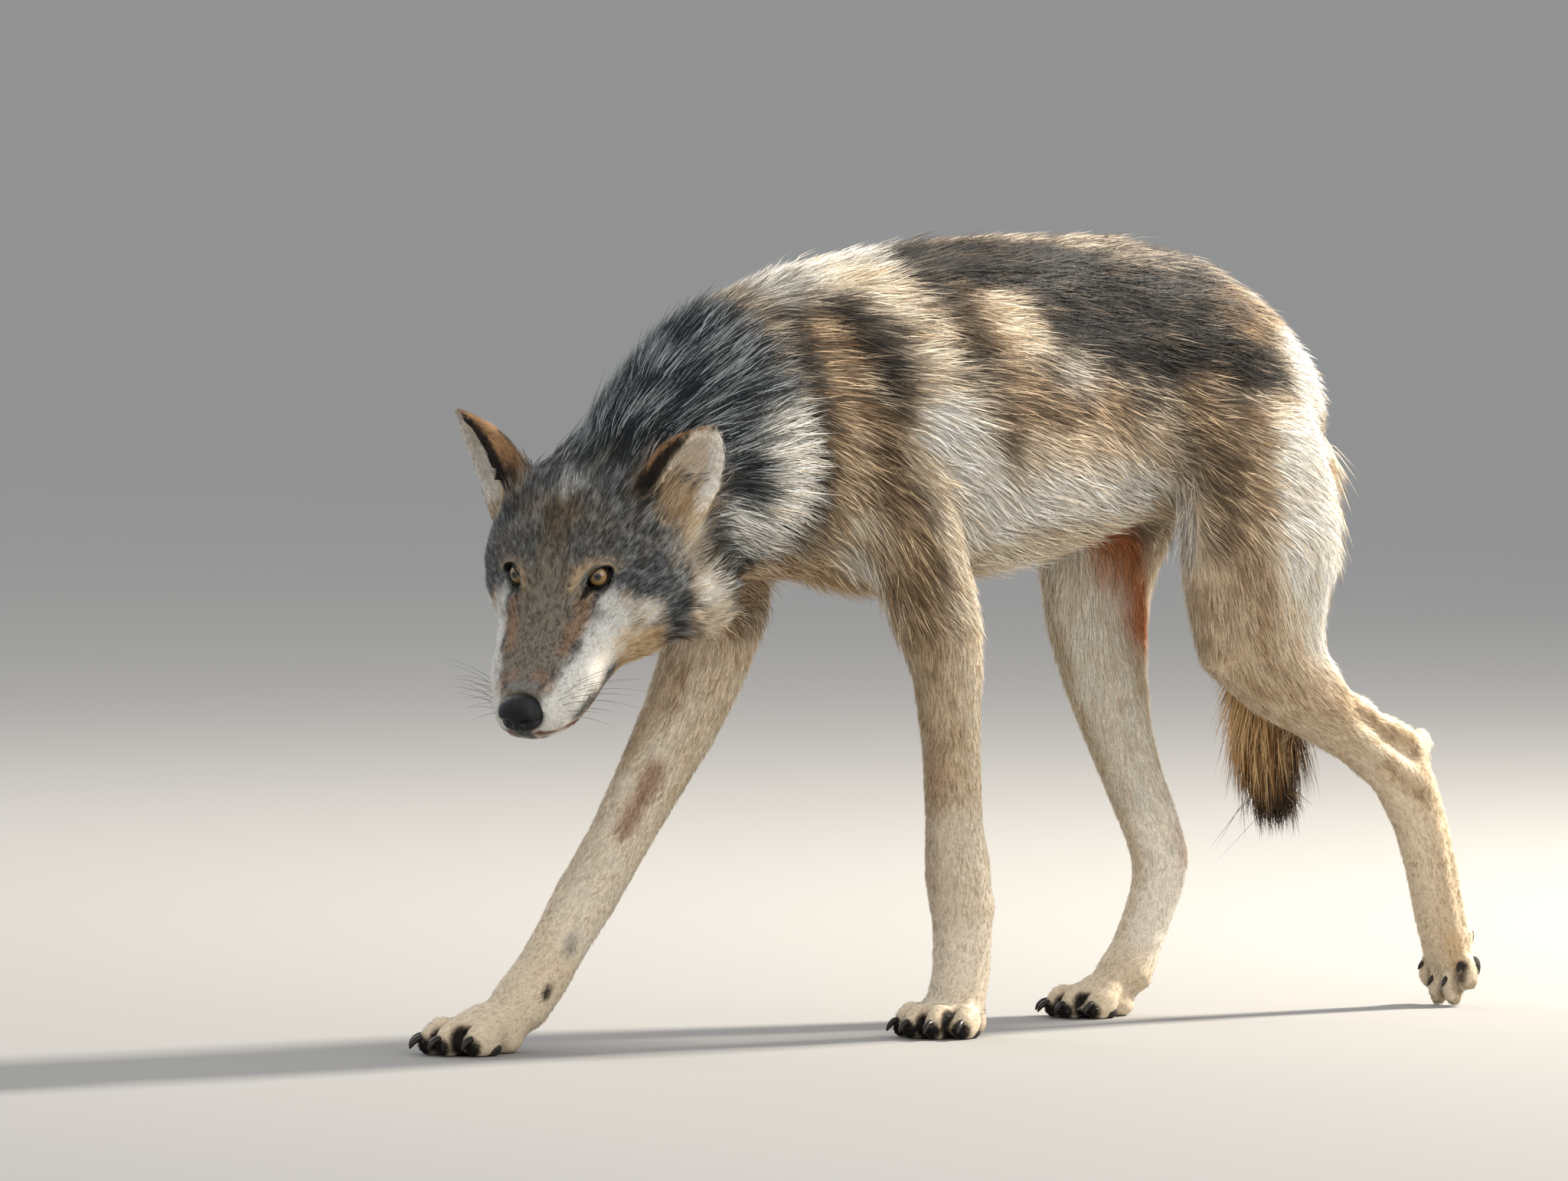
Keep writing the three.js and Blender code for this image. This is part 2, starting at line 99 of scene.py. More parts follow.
def mottle(points: Array, size: float, seed: int) -> Array:
    """Smooth noise from 0 to 1 through space.

    Args:
        points: Places, in metres.
        size: Width of one patch, in metres.
        seed: Which noise it is.

    Returns:
        One value for each point.
    """
    place = points / size + seed * 7.31
    cell = np.floor(place).astype(np.int64)
    part = place - cell
    part = part * part * (3.0 - 2.0 * part)
    total = np.zeros(len(points))
    for corner in np.ndindex(2, 2, 2):
        at = cell + np.array(corner)
        code = (at[:, 0] * 73856093) ^ (at[:, 1] * 19349663) ^ (at[:, 2] * 83492791) ^ (seed * 97531)
        code = ((code & 0x7FFFFFFF) * 1103515245 + 12345) & 0x7FFFFFFF
        code = ((code ^ (code >> 13)) * 1103515245 + 12345) & 0x7FFFFFFF
        weight = np.prod(np.where(np.array(corner) == 1, part, 1.0 - part), axis=1)
        total += weight * ((code >> 8) & 0xFFFF) / 65535.0
    return total


def line_gap(points: Array, line: object) -> Array:
    """The distance from each point to a line that runs through one knot or more.

    Args:
        points: Places in one frame.
        line: The knots, in the same frame.

    Returns:
        One distance for each point.
    """
    knots = np.array(line, dtype=float)
    gap = np.full(len(points), np.inf)
    for a, b in zip(knots, knots[1:] if len(knots) > 1 else knots):
        leg = b - a
        share = np.clip((points - a) @ leg / max(leg @ leg, 1e-9), 0.0, 1.0)
        gap = np.minimum(gap, np.linalg.norm(points - a - share[:, None] * leg, axis=1))
    return gap


def read(items: object, name: str, width: int, kind: type = float) -> Array:
    """One attribute of all points, edges or triangles of a mesh, as rows of numbers.

    Args:
        items: The points, edges or triangles.
        name: The attribute's name.
        width: How many numbers each item has.
        kind: Their type.

    Returns:
        One row for each item.
    """
    out = np.empty(len(items) * width, dtype=kind)
    items.foreach_get(name, out)
    return out.reshape(-1, width)


def written(name: str, bm: BMesh) -> Mesh:
    """A new mesh with a worked-out shape, whose working copy is freed.

    Args:
        name: The mesh's name.
        bm: The working copy.

    Returns:
        The new mesh.
    """
    mesh = bpy.data.meshes.new(name)
    bm.to_mesh(mesh)
    bm.free()
    return mesh


def tilted(ahead: Array, aside: Array, angle: Array) -> Array:
    """Directions turned from one towards another that stands square to it, angles in radians."""
    return ahead * np.cos(angle)[:, None] + aside * np.sin(angle)[:, None]


def flattened(way: Array, normals: Array) -> Array:
    """Directions laid down along the skin."""
    return unit(way - normals * np.sum(way * normals, axis=1, keepdims=True))


def linked(name: str, data: ID) -> Object:
    """A new object that shows a mesh, a lamp or a camera in the scene.

    Args:
        name: The object's name.
        data: What it shows.

    Returns:
        The new object.
    """
    obj = bpy.data.objects.new(name, data)
    bpy.context.scene.collection.objects.link(obj)
    return obj


def turned(yaw: float, pitch: float) -> Array:
    """The rotation of a frame that is pitched about its Y axis, then yawed about Z, angles in degrees.

    Args:
        yaw: Turn about Z.
        pitch: Turn about Y.

    Returns:
        The axes as columns.
    """
    y, p = math.radians(yaw), math.radians(pitch)
    about_z = np.array([[math.cos(y), -math.sin(y), 0], [math.sin(y), math.cos(y), 0], [0, 0, 1]])
    about_y = np.array([[math.cos(p), 0, math.sin(p)], [0, 1, 0], [-math.sin(p), 0, math.cos(p)]])
    return about_z @ about_y


@dataclass(frozen=True)
class LocalFrame:
    """A place and three directions of its own, with local sizes in millimetres.

    Attributes:
        origin: Where it lies, in metres.
        axes: Its directions as columns.
        scale: Metres for each local unit.
    """

    origin: Array
    axes: Array
    scale: float = MM

    def local(self, points: Array) -> Array:
        """Points in metres, in this frame's own units."""
        return (points - self.origin) @ self.axes / self.scale

    def world(self, points: object) -> Array:
        """Points of this frame, in metres."""
        return np.asarray(points, dtype=float) * self.scale @ self.axes.T + self.origin

    def turn(self, vectors: object) -> Array:
        """Directions of this frame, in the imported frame."""
        return np.asarray(vectors, dtype=float) @ self.axes.T


HEAD = LocalFrame(placed((-308, -30, 458)), turned(23.0, -42.5))  # X to the nape, Y to the wolf's right, Z up
EYE_RADIUS = 12.5
PUPIL_OFFSET = 46.5


def gaze(side: int, out: float = 33.0, up: float = 24.0) -> Array:
    """The way an eye points, in the head's frame, by its angles outwards of the muzzle and above it."""
    o, u = math.radians(out), math.radians(up)
    return np.array([-math.cos(o) * math.cos(u), side * math.sin(o) * math.cos(u), math.sin(u)])


def eye_centre(side: int) -> Array:
    """The middle of an eyeball in the head's frame."""
    return np.array([0.0, side * PUPIL_OFFSET, 0.0]) - gaze(side) * (EYE_RADIUS - 1.0)


# ---- Parts of the body ----


class Region(Enum):
    """The parts of the body that differ in coat."""

    HEAD = 0
    EAR = 1
    NECK = 2
    TRUNK = 3
    FORELEG = 4
    HINDLEG = 5
    PAW = 6
    TAIL = 7


REGION_OF = {
    "head": Region.HEAD,
    "lower_jaw": Region.HEAD,
    "left_ear": Region.EAR,
    "right_ear": Region.EAR,
    "neck": Region.NECK,
    "trunk": Region.TRUNK,
    "tail": Region.TAIL,
    "left_foreleg_upper": Region.FORELEG,
    "right_foreleg_upper": Region.FORELEG,
    "left_hindleg_upper": Region.HINDLEG,
    "right_hindleg_upper": Region.HINDLEG,
    "left_fore_paw": Region.PAW,
    "right_fore_paw": Region.PAW,
    "left_hind_paw": Region.PAW,
    "right_hind_paw": Region.PAW,
}


FLESH = tuple(REGION_OF)
REGION_NUMBERS = np.array([region.value for region in REGION_OF.values()])


@dataclass(frozen=True)
class Limb:
    """The middle line of a leg or the tail, from the body to its end, in the solids' working frame."""

    nodes: tuple[str, ...]
    line: tuple[Triple, ...]

    def run(self, points: Array) -> Array:
        """The way the limb runs beside each point.

        Args:
            points: Places, in metres.

        Returns:
            One direction for each point.
        """
        knots = placed(self.line)
        legs = np.diff(knots, axis=0)
        share = np.einsum("pki,ki->pk", points[:, None] - knots[None, :-1], legs) / np.sum(legs**2, axis=1)
        near = knots[:-1] + np.clip(share, 0.0, 1.0)[..., None] * legs
        gap = np.linalg.norm(points[:, None] - near, axis=2)
        weight = np.exp(-(gap - gap.min(axis=1, keepdims=True)) / 0.02)
        return unit(weight @ unit(legs))


LIMBS = (
    Limb(
        ("left_foreleg_upper", "left_fore_paw"),
        (
            (92, -66, 600), (86, -76, 530), (132, -74, 405), (160, -63, 280),
            (172, -60, 148), (174, -60, 62), (160, -60, 35),
        ),
    ),
    Limb(
        ("right_foreleg_upper", "right_fore_paw"),
        (
            (62, 66, 600), (4, 80, 470), (-36, 74, 356), (-104, 64, 258),
            (-190, 59, 143), (-252, 55, 70), (-306, 53, 30),
        ),
    ),
    Limb(
        ("left_hindleg_upper", "left_hind_paw"),
        (
            (540, -70, 600), (526, -90, 435), (560, -86, 345), (686, -71, 279),
            (752, -64, 225), (784, -60, 140), (816, -55, 40),
        ),
    ),
    Limb(
        ("right_hindleg_upper", "right_hind_paw"),
        (
            (530, 70, 600), (466, 85, 440), (470, 74, 330), (495, 61, 230),
            (523, 55, 150), (508, 52, 93), (474, 50, 34),
        ),
    ),
    Limb(
        ("tail",),
        (
            (636, 0, 600), (664, 0, 545), (662, 0, 470), (636, 0, 385),
            (616, 0, 320), (614, 0, 262), (628, 0, 180),
        ),
    ),
)


@dataclass(frozen=True)
class Ear:
    """One ear: a thin cup that leans out and back from the skull, in millimetres of the head's frame.

    Its sections lie at heights from 0 at the root to 1 near the tip. Each has half a width, a depth behind
    the opening, a swelling in front of it, and the degrees by which its inner edge curls over.
    """

    side: int
    root: Triple = (92.0, 90.0, 12.0)
    rise: Triple = (55.0, 47.0, 54.0)
    opening: Triple = (-0.81, 0.544, 0.22)
    at: tuple[float, ...] = (-0.25, 0.1, 0.4, 0.65, 0.84, 0.93, 0.98, 1.01)
    half_width: tuple[float, ...] = (38.0, 41.0, 38.5, 31.0, 18.5, 10.5, 5.5, 1.2)
    cup: tuple[float, ...] = (27.0, 27.0, 27.0, 19.0, 11.0, 7.5, 5.0, 3.5)
    front: tuple[float, ...] = (12.0, 12.0, 11.0, 8.0, 5.0, 4.0, 3.5, 3.0)
    curl: tuple[float, ...] = (64.0, 64.0, 63.0, 60.0, 48.0, 32.0, 10.0, 0.0)

    def fold(self, t: Array) -> Array:
        """How far the inner edge curls over, in degrees past a quarter turn: the right ear is more open."""
        return np.interp(t, self.at, self.curl) * (1.0 if self.side == LEFT else 0.5)

    def axes(self) -> tuple[Array, Array, Array, Array]:
        """Root, rise, opening and the direction to the midline, in the head's frame.

        Returns:
            The four of them, in that order.
        """
        flip = np.array([1.0, self.side, 1.0])
        rise = np.array(self.rise) * flip
        rise[2] += 4.0 * self.side
        opening = unit(np.array(self.opening) * flip)
        opening = unit(opening - rise * (opening @ rise) / (rise @ rise))
        return np.array(self.root) * flip, rise, opening, unit(np.cross(opening, rise)) * -self.side

    def surface(self, t: Array, angle: Array, lift: float = 0.0) -> Array:
        """Points of the cup.

        Args:
            t: Height along the ear, 0 at the root and 1 near the tip.
            angle: Round the cup, from minus a quarter turn at the outer edge to past a quarter turn at the
                inner edge, which curls over the cup's front.
            lift: Distance outwards of the middle of the wall.

        Returns:
            Points in the head's frame.
        """
        root, rise, opening, medial = self.axes()
        wide = np.interp(t, self.at, self.half_width)
        out = 2.0 - 5.0 * np.sin(np.pi * t) - (self.depth(t, np.cos(angle)) + lift) * np.cos(angle)
        side = (wide + lift) * np.sin(angle)
        return root + t[:, None] * rise + out[:, None] * opening + side[:, None] * medial

    def depth(self, t: Array, behind: Array) -> Array:
        """How deep the section is: behind the opening where the second value is positive, else in front."""
        return np.where(behind > 0, np.interp(t, self.at, self.cup), np.interp(t, self.at, self.front))

    def rays(self, angle: Array) -> Array:
        """The way out of the cup's middle line at each angle, in the head's frame."""
        _, _, opening, medial = self.axes()
        return unit(-np.cos(angle)[:, None] * opening + np.sin(angle)[:, None] * medial)

    def place(self, local: Array) -> tuple[Array, Array, Array]:
        """Height, angle and relative radius of points of the head's frame about the cup.

        Args:
            local: Points of the head's frame.

        Returns:
            The three measures of each point.
        """
        root, rise, opening, medial = self.axes()
        t = (local - root) @ rise / (rise @ rise)
        wide = np.interp(t, self.at, self.half_width)
        side = (local - root) @ medial / np.maximum(wide, 4.0)
        out = (local - root) @ opening - 2.0 + 5.0 * np.sin(np.pi * np.clip(t, 0, 1))
        out = out / self.depth(t, -out)
        return t, np.arctan2(side, -out), np.hypot(side, out)

    def shell(self, thickness: float = 6.0) -> BMesh:
        """The closed wall of the cup as a mesh, in metres.

        Args:
            thickness: Of the wall, in millimetres.

        Returns:
            The mesh.
        """
        bm = bmesh.new()
        bmesh.ops.create_grid(bm, x_segments=36, y_segments=32, size=0.5)
        flat = np.array([v.co[:] for v in bm.verts])
        t = self.at[0] + (flat[:, 1] + 0.5) * (self.at[-1] - self.at[0])
        span = 180.0 + self.fold(t)
        angle = np.radians(-90.0 + (flat[:, 0] + 0.5) * span)
        shape = HEAD.world(self.surface(t, angle, -thickness / 2))
        for vert, co in zip(bm.verts, shape):
            vert.co = co
        bmesh.ops.recalc_face_normals(bm, faces=bm.faces)
        bmesh.ops.solidify(bm, geom=bm.faces[:], thickness=thickness * MM)
        bmesh.ops.recalc_face_normals(bm, faces=bm.faces)
        return bm


# ---- Markings ----


@dataclass(frozen=True)
class Blend:
    """Two colours of hair that grow mixed, and how much of it is the darker."""

    light: str
    dark: str
    share: float


class Hue(Enum):
    """The mixtures of hair on a grey wolf."""

    SLATE = Blend("9aa0a0", "171c21", 0.66)
    SILVER = Blend("eee9de", "77746c", 0.28)
    WHITE = Blend("fff8ec", "ead8be", 0.25)
    CREAM = Blend("fae8cf", "cdb089", 0.32)
    BUFF = Blend("dec5a2", "8a6a4a", 0.44)
    GRIZZLED = Blend("c2b19b", "3d342b", 0.50)
    SADDLE = Blend("6e5e4d", "0a0908", 0.86)
    BROWN_GREY = Blend("c6a67e", "544231", 0.48)
    CROWN = Blend("9a9d9b", "111213", 0.72)
    BRIDGE = Blend("a29684", "42392f", 0.50)
    MIDLINE = Blend("8c7a62", "30281f", 0.60)
    RUST = Blend("b48a60", "64442c", 0.45)
    DARK_RUST = Blend("84603e", "1d1510", 0.68)
    BLACK = Blend("2e2722", "0a0909", 0.75)
    PALE_TAN = Blend("e2c499", "a27f54", 0.38)
    PALE_GREY = Blend("eeebe3", "bab3a7", 0.28)
    SMOKE = Blend("9b9a95", "5c5b59", 0.50)
    GROIN = Blend("d6844e", "985a36", 0.40)
    LIP = Blend("8f6553", "4a2d25", 0.50)
    BRUSH = Blend("f2c890", "966838", 0.38)
    ROSE = Blend("b58f74", "7a5647", 0.50)
    SHANK = Blend("f2e2c8", "bfa27a", 0.36)

    @property
    def row(self) -> Array:
        """Light colour, dark colour and dark share as seven numbers."""
        return np.concatenate([tone(self.value.light), tone(self.value.dark), [self.value.share]])


def covered(rows: Array, row: Array, weight: Array) -> Array:
    """Mixtures, covered with another one by a weight for each point."""
    return rows + (row - rows) * weight[:, None]


def mean_colour(rows: Array) -> Array:
    """The colour of each mixture's light and dark hair together."""
    return rows[:, :3] + (rows[:, 3:6] - rows[:, :3]) * rows[:, 6:7]


RAGGED = 0.9  # how far the edge of a mark wanders, as a share of its radius


class Space(Enum):
    """Whose millimetres a mark is given in."""

    BODY = 0
    HEAD = 1


@dataclass(frozen=True)
class Mark:
    """A soft-edged patch of one mixture, round a line, the same on both sides of the body.

    Attributes:
        hue: The mixture.
        line: One point or more, y outwards from the middle, in millimetres.
        radius: Half its width.
        strength: How fully it covers what lies under it.
        soft: Share of the radius over which it fades.
        facing: Only where the surface faces this way, if given.
        side: The only side of the body that has it, or 0 for both.
        space: The frame of its points.
    """

    hue: Hue
    line: tuple[Triple, ...]
    radius: float
    strength: float = 1.0
    soft: float = 0.6
    facing: Triple | None = None
    side: int = 0
    space: Space = Space.BODY

    def weight(self, body: Array, head: Array, normals: Array, ragged: Array) -> Array:
        """How strongly the mark covers each point.

        Args:
            body: The points in the solids' working frame.
            head: The same points in the head's frame.
            normals: The skin's normals there.
            ragged: Noise from 0 to 1 that makes the edge wander.

        Returns:
            A weight from 0 to 1 for each point.
        """
        points = outward(body if self.space is Space.BODY else head)
        reach = line_gap(points, self.line) / self.radius + (ragged - 0.5) * RAGGED
        weight = self.strength * ramp(1.0 + self.soft / 2, 1.0 - self.soft / 2, reach)
        if self.facing is not None:
            mirrored = normals * np.where(body[:, 1:2] < 0, [[1.0, -1.0, 1.0]], [[1.0, 1.0, 1.0]])
            weight = weight * ramp(-0.1, 0.55, mirrored @ unit(np.array(self.facing)))
        if self.side:
            weight = weight * (body[:, 1] * self.side > 0)
        return weight


BASE_HUE = {
    Region.HEAD: Hue.CROWN,
    Region.EAR: Hue.BUFF,
    Region.NECK: Hue.SLATE,
    Region.TRUNK: Hue.GRIZZLED,
    Region.FORELEG: Hue.SHANK,
    Region.HINDLEG: Hue.SHANK,
    Region.PAW: Hue.SHANK,
    Region.TAIL: Hue.BRUSH,
}

BELOW = (0, 0, -1)
AHEAD = (-0.9, 0.35, 0)
INWARD = (0, -1, 0.1)


def marks(space: Space, *rows: tuple) -> tuple[Mark, ...]:
    """The marks of one frame, from rows that hold a mark's values in their order."""
    return tuple(Mark(*row, space=space) for row in rows)


BODY_MARKS = marks(
    Space.BODY,
    (Hue.CREAM, ((59, 0, 400), (309, 0, 420), (459, 0, 470)), 110, 1.0, 0.5, BELOW),
    (Hue.PALE_TAN, ((-121, 0, 400), (-31, 0, 420), (29, 0, 430)), 75, 0.9, 0.5, BELOW),
    (Hue.RUST, ((-60, 20, 445), (-19, 28, 449), (10, 34, 448)), 18, 0.45, 1.0),
    (Hue.WHITE, ((30, 61, 468), (52, 56, 448)), 22, 0.9, 0.9),
    # the neck and its dark edge
    (Hue.SLATE, ((-127, 100, 600), (-140, 110, 560)), 30, 0.7, 1.2),
    (Hue.SILVER, ((-84, 103, 590), (-71, 103, 536), (-89, 92, 492), (-150, 96, 500)), 27, 0.95, 1.0),
    (Hue.WHITE, ((-76, 103, 556), (-78, 98, 515)), 20, 0.95, 1.1),
    (Hue.BLACK, ((-25, 36, 730), (-33, 69, 691), (-36, 93, 642), (-34, 105, 586), (-28, 100, 529),
                 (-30, 65, 470)), 17, 0.95, 1.0),
    # the shoulder's upright bands
    (Hue.BUFF, ((4, 44, 730), (2, 83, 678), (-4, 102, 616), (2, 102, 553), (6, 87, 502)), 27, 0.9, 0.9),
    (Hue.BROWN_GREY, ((-14, 60, 705), (-12, 92, 650), (-16, 104, 590)), 12, 0.75, 1.2),
    (Hue.CREAM, ((24, 82, 496), (40, 86, 470)), 20, 0.9, 1.0),
    (Hue.SADDLE, ((14, 68, 712), (37, 94, 668), (56, 108, 625), (62, 112, 588)), 19, 0.95, 1.0),
    (Hue.SILVER, ((-20, 18, 742), (50, 20, 757), (130, 22, 764)), 42, 0.85, 1.0),
    (Hue.CREAM, ((43, 38, 742), (75, 64, 729), (94, 92, 695), (106, 110, 650), (108, 117, 610)),
     25, 0.9, 0.9),
    (Hue.BROWN_GREY, ((38, 109, 590), (44, 110, 551), (56, 116, 507), (70, 112, 455)), 23, 0.85, 1.1),
    (Hue.SADDLE, ((34, 108, 580), (46, 110, 545)), 11, 0.55, 1.2),
    (Hue.SADDLE, ((84, 119, 520), (92, 121, 490), (100, 117, 449)), 8, 0.7, 1.2),
    # the dark saddle along the back
    (Hue.SADDLE, ((150, 44, 752), (215, 50, 746), (290, 66, 735)), 48, 1.0, 0.7),
    (Hue.SADDLE, ((300, 78, 708), (350, 85, 692), (420, 85, 690), (500, 80, 676)), 56, 1.0, 0.6),
    (Hue.SADDLE, ((320, 100, 668), (378, 99, 652), (440, 95, 650)), 26, 0.85, 1.0),
    (Hue.SADDLE, ((420, 0, 762), (470, 30, 748), (500, 50, 722)), 34, 0.6, 1.0),
    (Hue.GRIZZLED, ((190, 0, 774), (350, 0, 770), (450, 0, 756), (520, 0, 717)), 14, 0.3, 1.2),
    (Hue.BROWN_GREY, ((520, 72, 700), (572, 60, 668), (590, 60, 640)), 34, 0.75, 1.0),
    (Hue.SADDLE, ((470, 95, 650), (520, 97, 632), (545, 96, 622)), 20, 0.8, 1.2),
    # flank and ribs
    (Hue.BUFF, ((162, 100, 692), (194, 104, 670)), 34, 0.85, 1.3),
    (Hue.CREAM, ((192, 98, 704), (212, 101, 688), (222, 108, 670)), 21, 0.85, 1.3),
    (Hue.SILVER, ((272, 112, 640), (286, 114, 620)), 20, 0.6, 1.4),
    (Hue.SADDLE, ((143, 83, 716), (146, 100, 687), (158, 110, 662)), 18, 0.75, 1.2),
    (Hue.BROWN_GREY, ((205, 114, 612), (260, 116, 590), (331, 106, 590)), 34, 0.75, 1.0),
    (Hue.CREAM, ((104, 117, 592), (120, 119, 552), (140, 110, 515)), 42, 0.9, 0.9),
    # pale patch behind the shoulder, pushed to full white as a painted sunlit highlight
    (Hue.WHITE, ((108, 119, 594), (132, 118, 566), (156, 116, 540)), 28, 1.0, 0.9),
    (Hue.CREAM, ((225, 110, 560), (330, 104, 560), (400, 84, 560)), 26, 0.6, 1.2),
    (Hue.WHITE, ((140, 108, 490), (231, 106, 506), (323, 100, 512), (396, 84, 508), (424, 76, 470)),
     36, 0.9, 1.0),
    # thighs and rump
    (Hue.BROWN_GREY, ((450, 105, 600), (474, 123, 530), (470, 126, 462)), 36, 0.75, 1.1),
    (Hue.SADDLE, ((458, 108, 610), (466, 122, 556)), 12, 0.5, 1.4),
    (Hue.BUFF, ((506, 115, 610), (502, 130, 505), (504, 130, 434), (514, 115, 370)), 22, 0.9, 1.0),
    (Hue.CREAM, ((544, 112, 600), (532, 128, 505), (534, 128, 434), (546, 112, 360)), 21, 0.95, 0.9),
    (Hue.WHITE, ((606, 70, 640), (604, 96, 560), (596, 112, 503), (592, 116, 431), (604, 106, 360)),
     40, 1.0, 0.8),
    # pale hair on the back of the thigh, brightened to white as a painted sunlit highlight
    (Hue.WHITE, ((556, 118, 570), (542, 126, 520), (552, 126, 440)), 24, 0.95, 1.0),
    (Hue.GROIN, ((452, 38, 462), (474, 44, 425), (494, 46, 385)), 30, 0.95, 0.9, INWARD, RIGHT),
    (Hue.BUFF, ((470, 115, 420), (480, 112, 370), (500, 112, 345), (560, 112, 322), (620, 104, 310)),
     34, 0.75, 1.4, None, LEFT),
    (Hue.WHITE, ((640, 96, 330), (690, 90, 302)), 12, 0.7, 1.2, None, LEFT),
    # hocks, with painted shade in the left hind's hollows
    # painted shade in the hollow between the left shin and heel tendon, darker in its core
    (Hue.BUFF, ((652, 98, 298), (700, 92, 274), (740, 84, 258)), 10, 0.9, 0.9, (0, 1, 0), LEFT),
    (Hue.BROWN_GREY, ((660, 97, 295), (705, 92, 276), (732, 84, 262)), 6, 0.6, 1.3, (0, 1, 0), LEFT),
    # painted shade along the left hind's lower leg and its hollows
    (Hue.BUFF, ((690, 93, 240), (745, 86, 204)), 9, 0.8, 1.0, (0, 1, 0), LEFT),
    (Hue.BUFF, ((748, 84, 236), (772, 80, 180), (786, 80, 120), (792, 78, 60)),
     18, 0.6, 1.4, (-0.6, 0.8, 0), LEFT),
    (Hue.PALE_TAN, ((788, 78, 62), (796, 80, 40)), 9, 0.8, 1.0, None, LEFT),
    (Hue.BLACK, ((796, 84, 36), (800, 82, 26)), 6.5, 0.95, 0.6, None, LEFT),
    (Hue.PALE_TAN, ((470, 40, 298), (490, 35, 241), (516, 31, 177)), 7, 0.7, 1.0, INWARD, RIGHT),
    (Hue.ROSE, ((530, 32, 178), (538, 32, 150)), 10, 0.85, 0.9, INWARD, RIGHT),
    (Hue.BLACK, ((479, 38, 240), (488, 39, 191)), 3, 0.35, 1.4, INWARD, RIGHT),
    # forelegs
    (Hue.BUFF, ((-30, 66, 450), (-60, 62, 400)), 48, 0.8, 1.5),
    (Hue.BUFF, ((72, 105, 470), (95, 96, 400), (112, 88, 340), (125, 80, 270), (134, 72, 190),
                (140, 68, 130)), 32, 0.7, 1.4, AHEAD, LEFT),
    (Hue.BROWN_GREY, ((78, 108, 460), (92, 100, 400), (104, 90, 350)), 15, 0.7, 1.5, AHEAD, LEFT),
    (Hue.CREAM, ((128, 112, 500), (142, 104, 440), (168, 90, 370)), 24, 0.85, 1.1),
    (Hue.CREAM, ((196, 70, 330), (206, 62, 200), (196, 58, 60)), 14, 0.7, 1.4, None, LEFT),
    (Hue.WHITE, ((158, 62, 190), (160, 62, 120), (160, 62, 50)), 34, 0.35, 1.4, None, LEFT),
    (Hue.WHITE, ((-90, 40, 370), (-130, 40, 290), (-180, 38, 200), (-220, 34, 120)),
     34, 0.3, 1.4, INWARD, RIGHT),
    (Hue.WHITE, ((440, 40, 400), (450, 40, 330), (480, 36, 250), (515, 32, 180), (505, 30, 90)),
     38, 0.65, 1.2, INWARD, RIGHT),
    (Hue.BLACK, ((86, 103, 420), (94, 96, 385)), 5, 0.5, 1.4, None, LEFT),
    (Hue.RUST, ((128, 76, 280), (132, 68, 230)), 12, 0.35, 1.2, None, LEFT),
    (Hue.ROSE, ((-126, 40, 262), (-150, 38, 231), (-168, 37, 204)), 11, 0.8, 1.1, INWARD, RIGHT),
    (Hue.BUFF, ((-70, 60, 360), (-112, 60, 322), (-149, 66, 270)), 13, 0.7, 1.1, None, RIGHT),
    (Hue.BUFF, ((-104, 45, 315), (-90, 46, 340)), 10, 0.6, 1.2, None, RIGHT),
    (Hue.SMOKE, ((-238, 32, 104), (-246, 30, 92)), 6, 0.6, 1.2, None, RIGHT),
    (Hue.BLACK, ((-273, 26, 58), (-277, 25, 52)), 5, 0.95, 0.6, None, RIGHT),
    # the brush
    (Hue.RUST, ((640, 0, 330), (620, 0, 280)), 22, 0.4, 1.3),
    (Hue.CREAM, ((638, 0, 625), (655, 0, 540), (652, 0, 460)), 40, 0.85, 1.5),
    (Hue.PALE_TAN, ((652, 0, 440), (640, 0, 360)), 42, 0.6, 1.7),
    (Hue.BLACK, ((646, 0, 262), (626, 0, 205), (612, 0, 170)), 36, 0.95, 1.2),
)

MOUTH = (
    (-151, 8, -62), (-144, 24, -68), (-132, 34, -74), (-114, 40, -78),
    (-96, 44, -80), (-78, 46, -82), (-51, 48, -84),
)


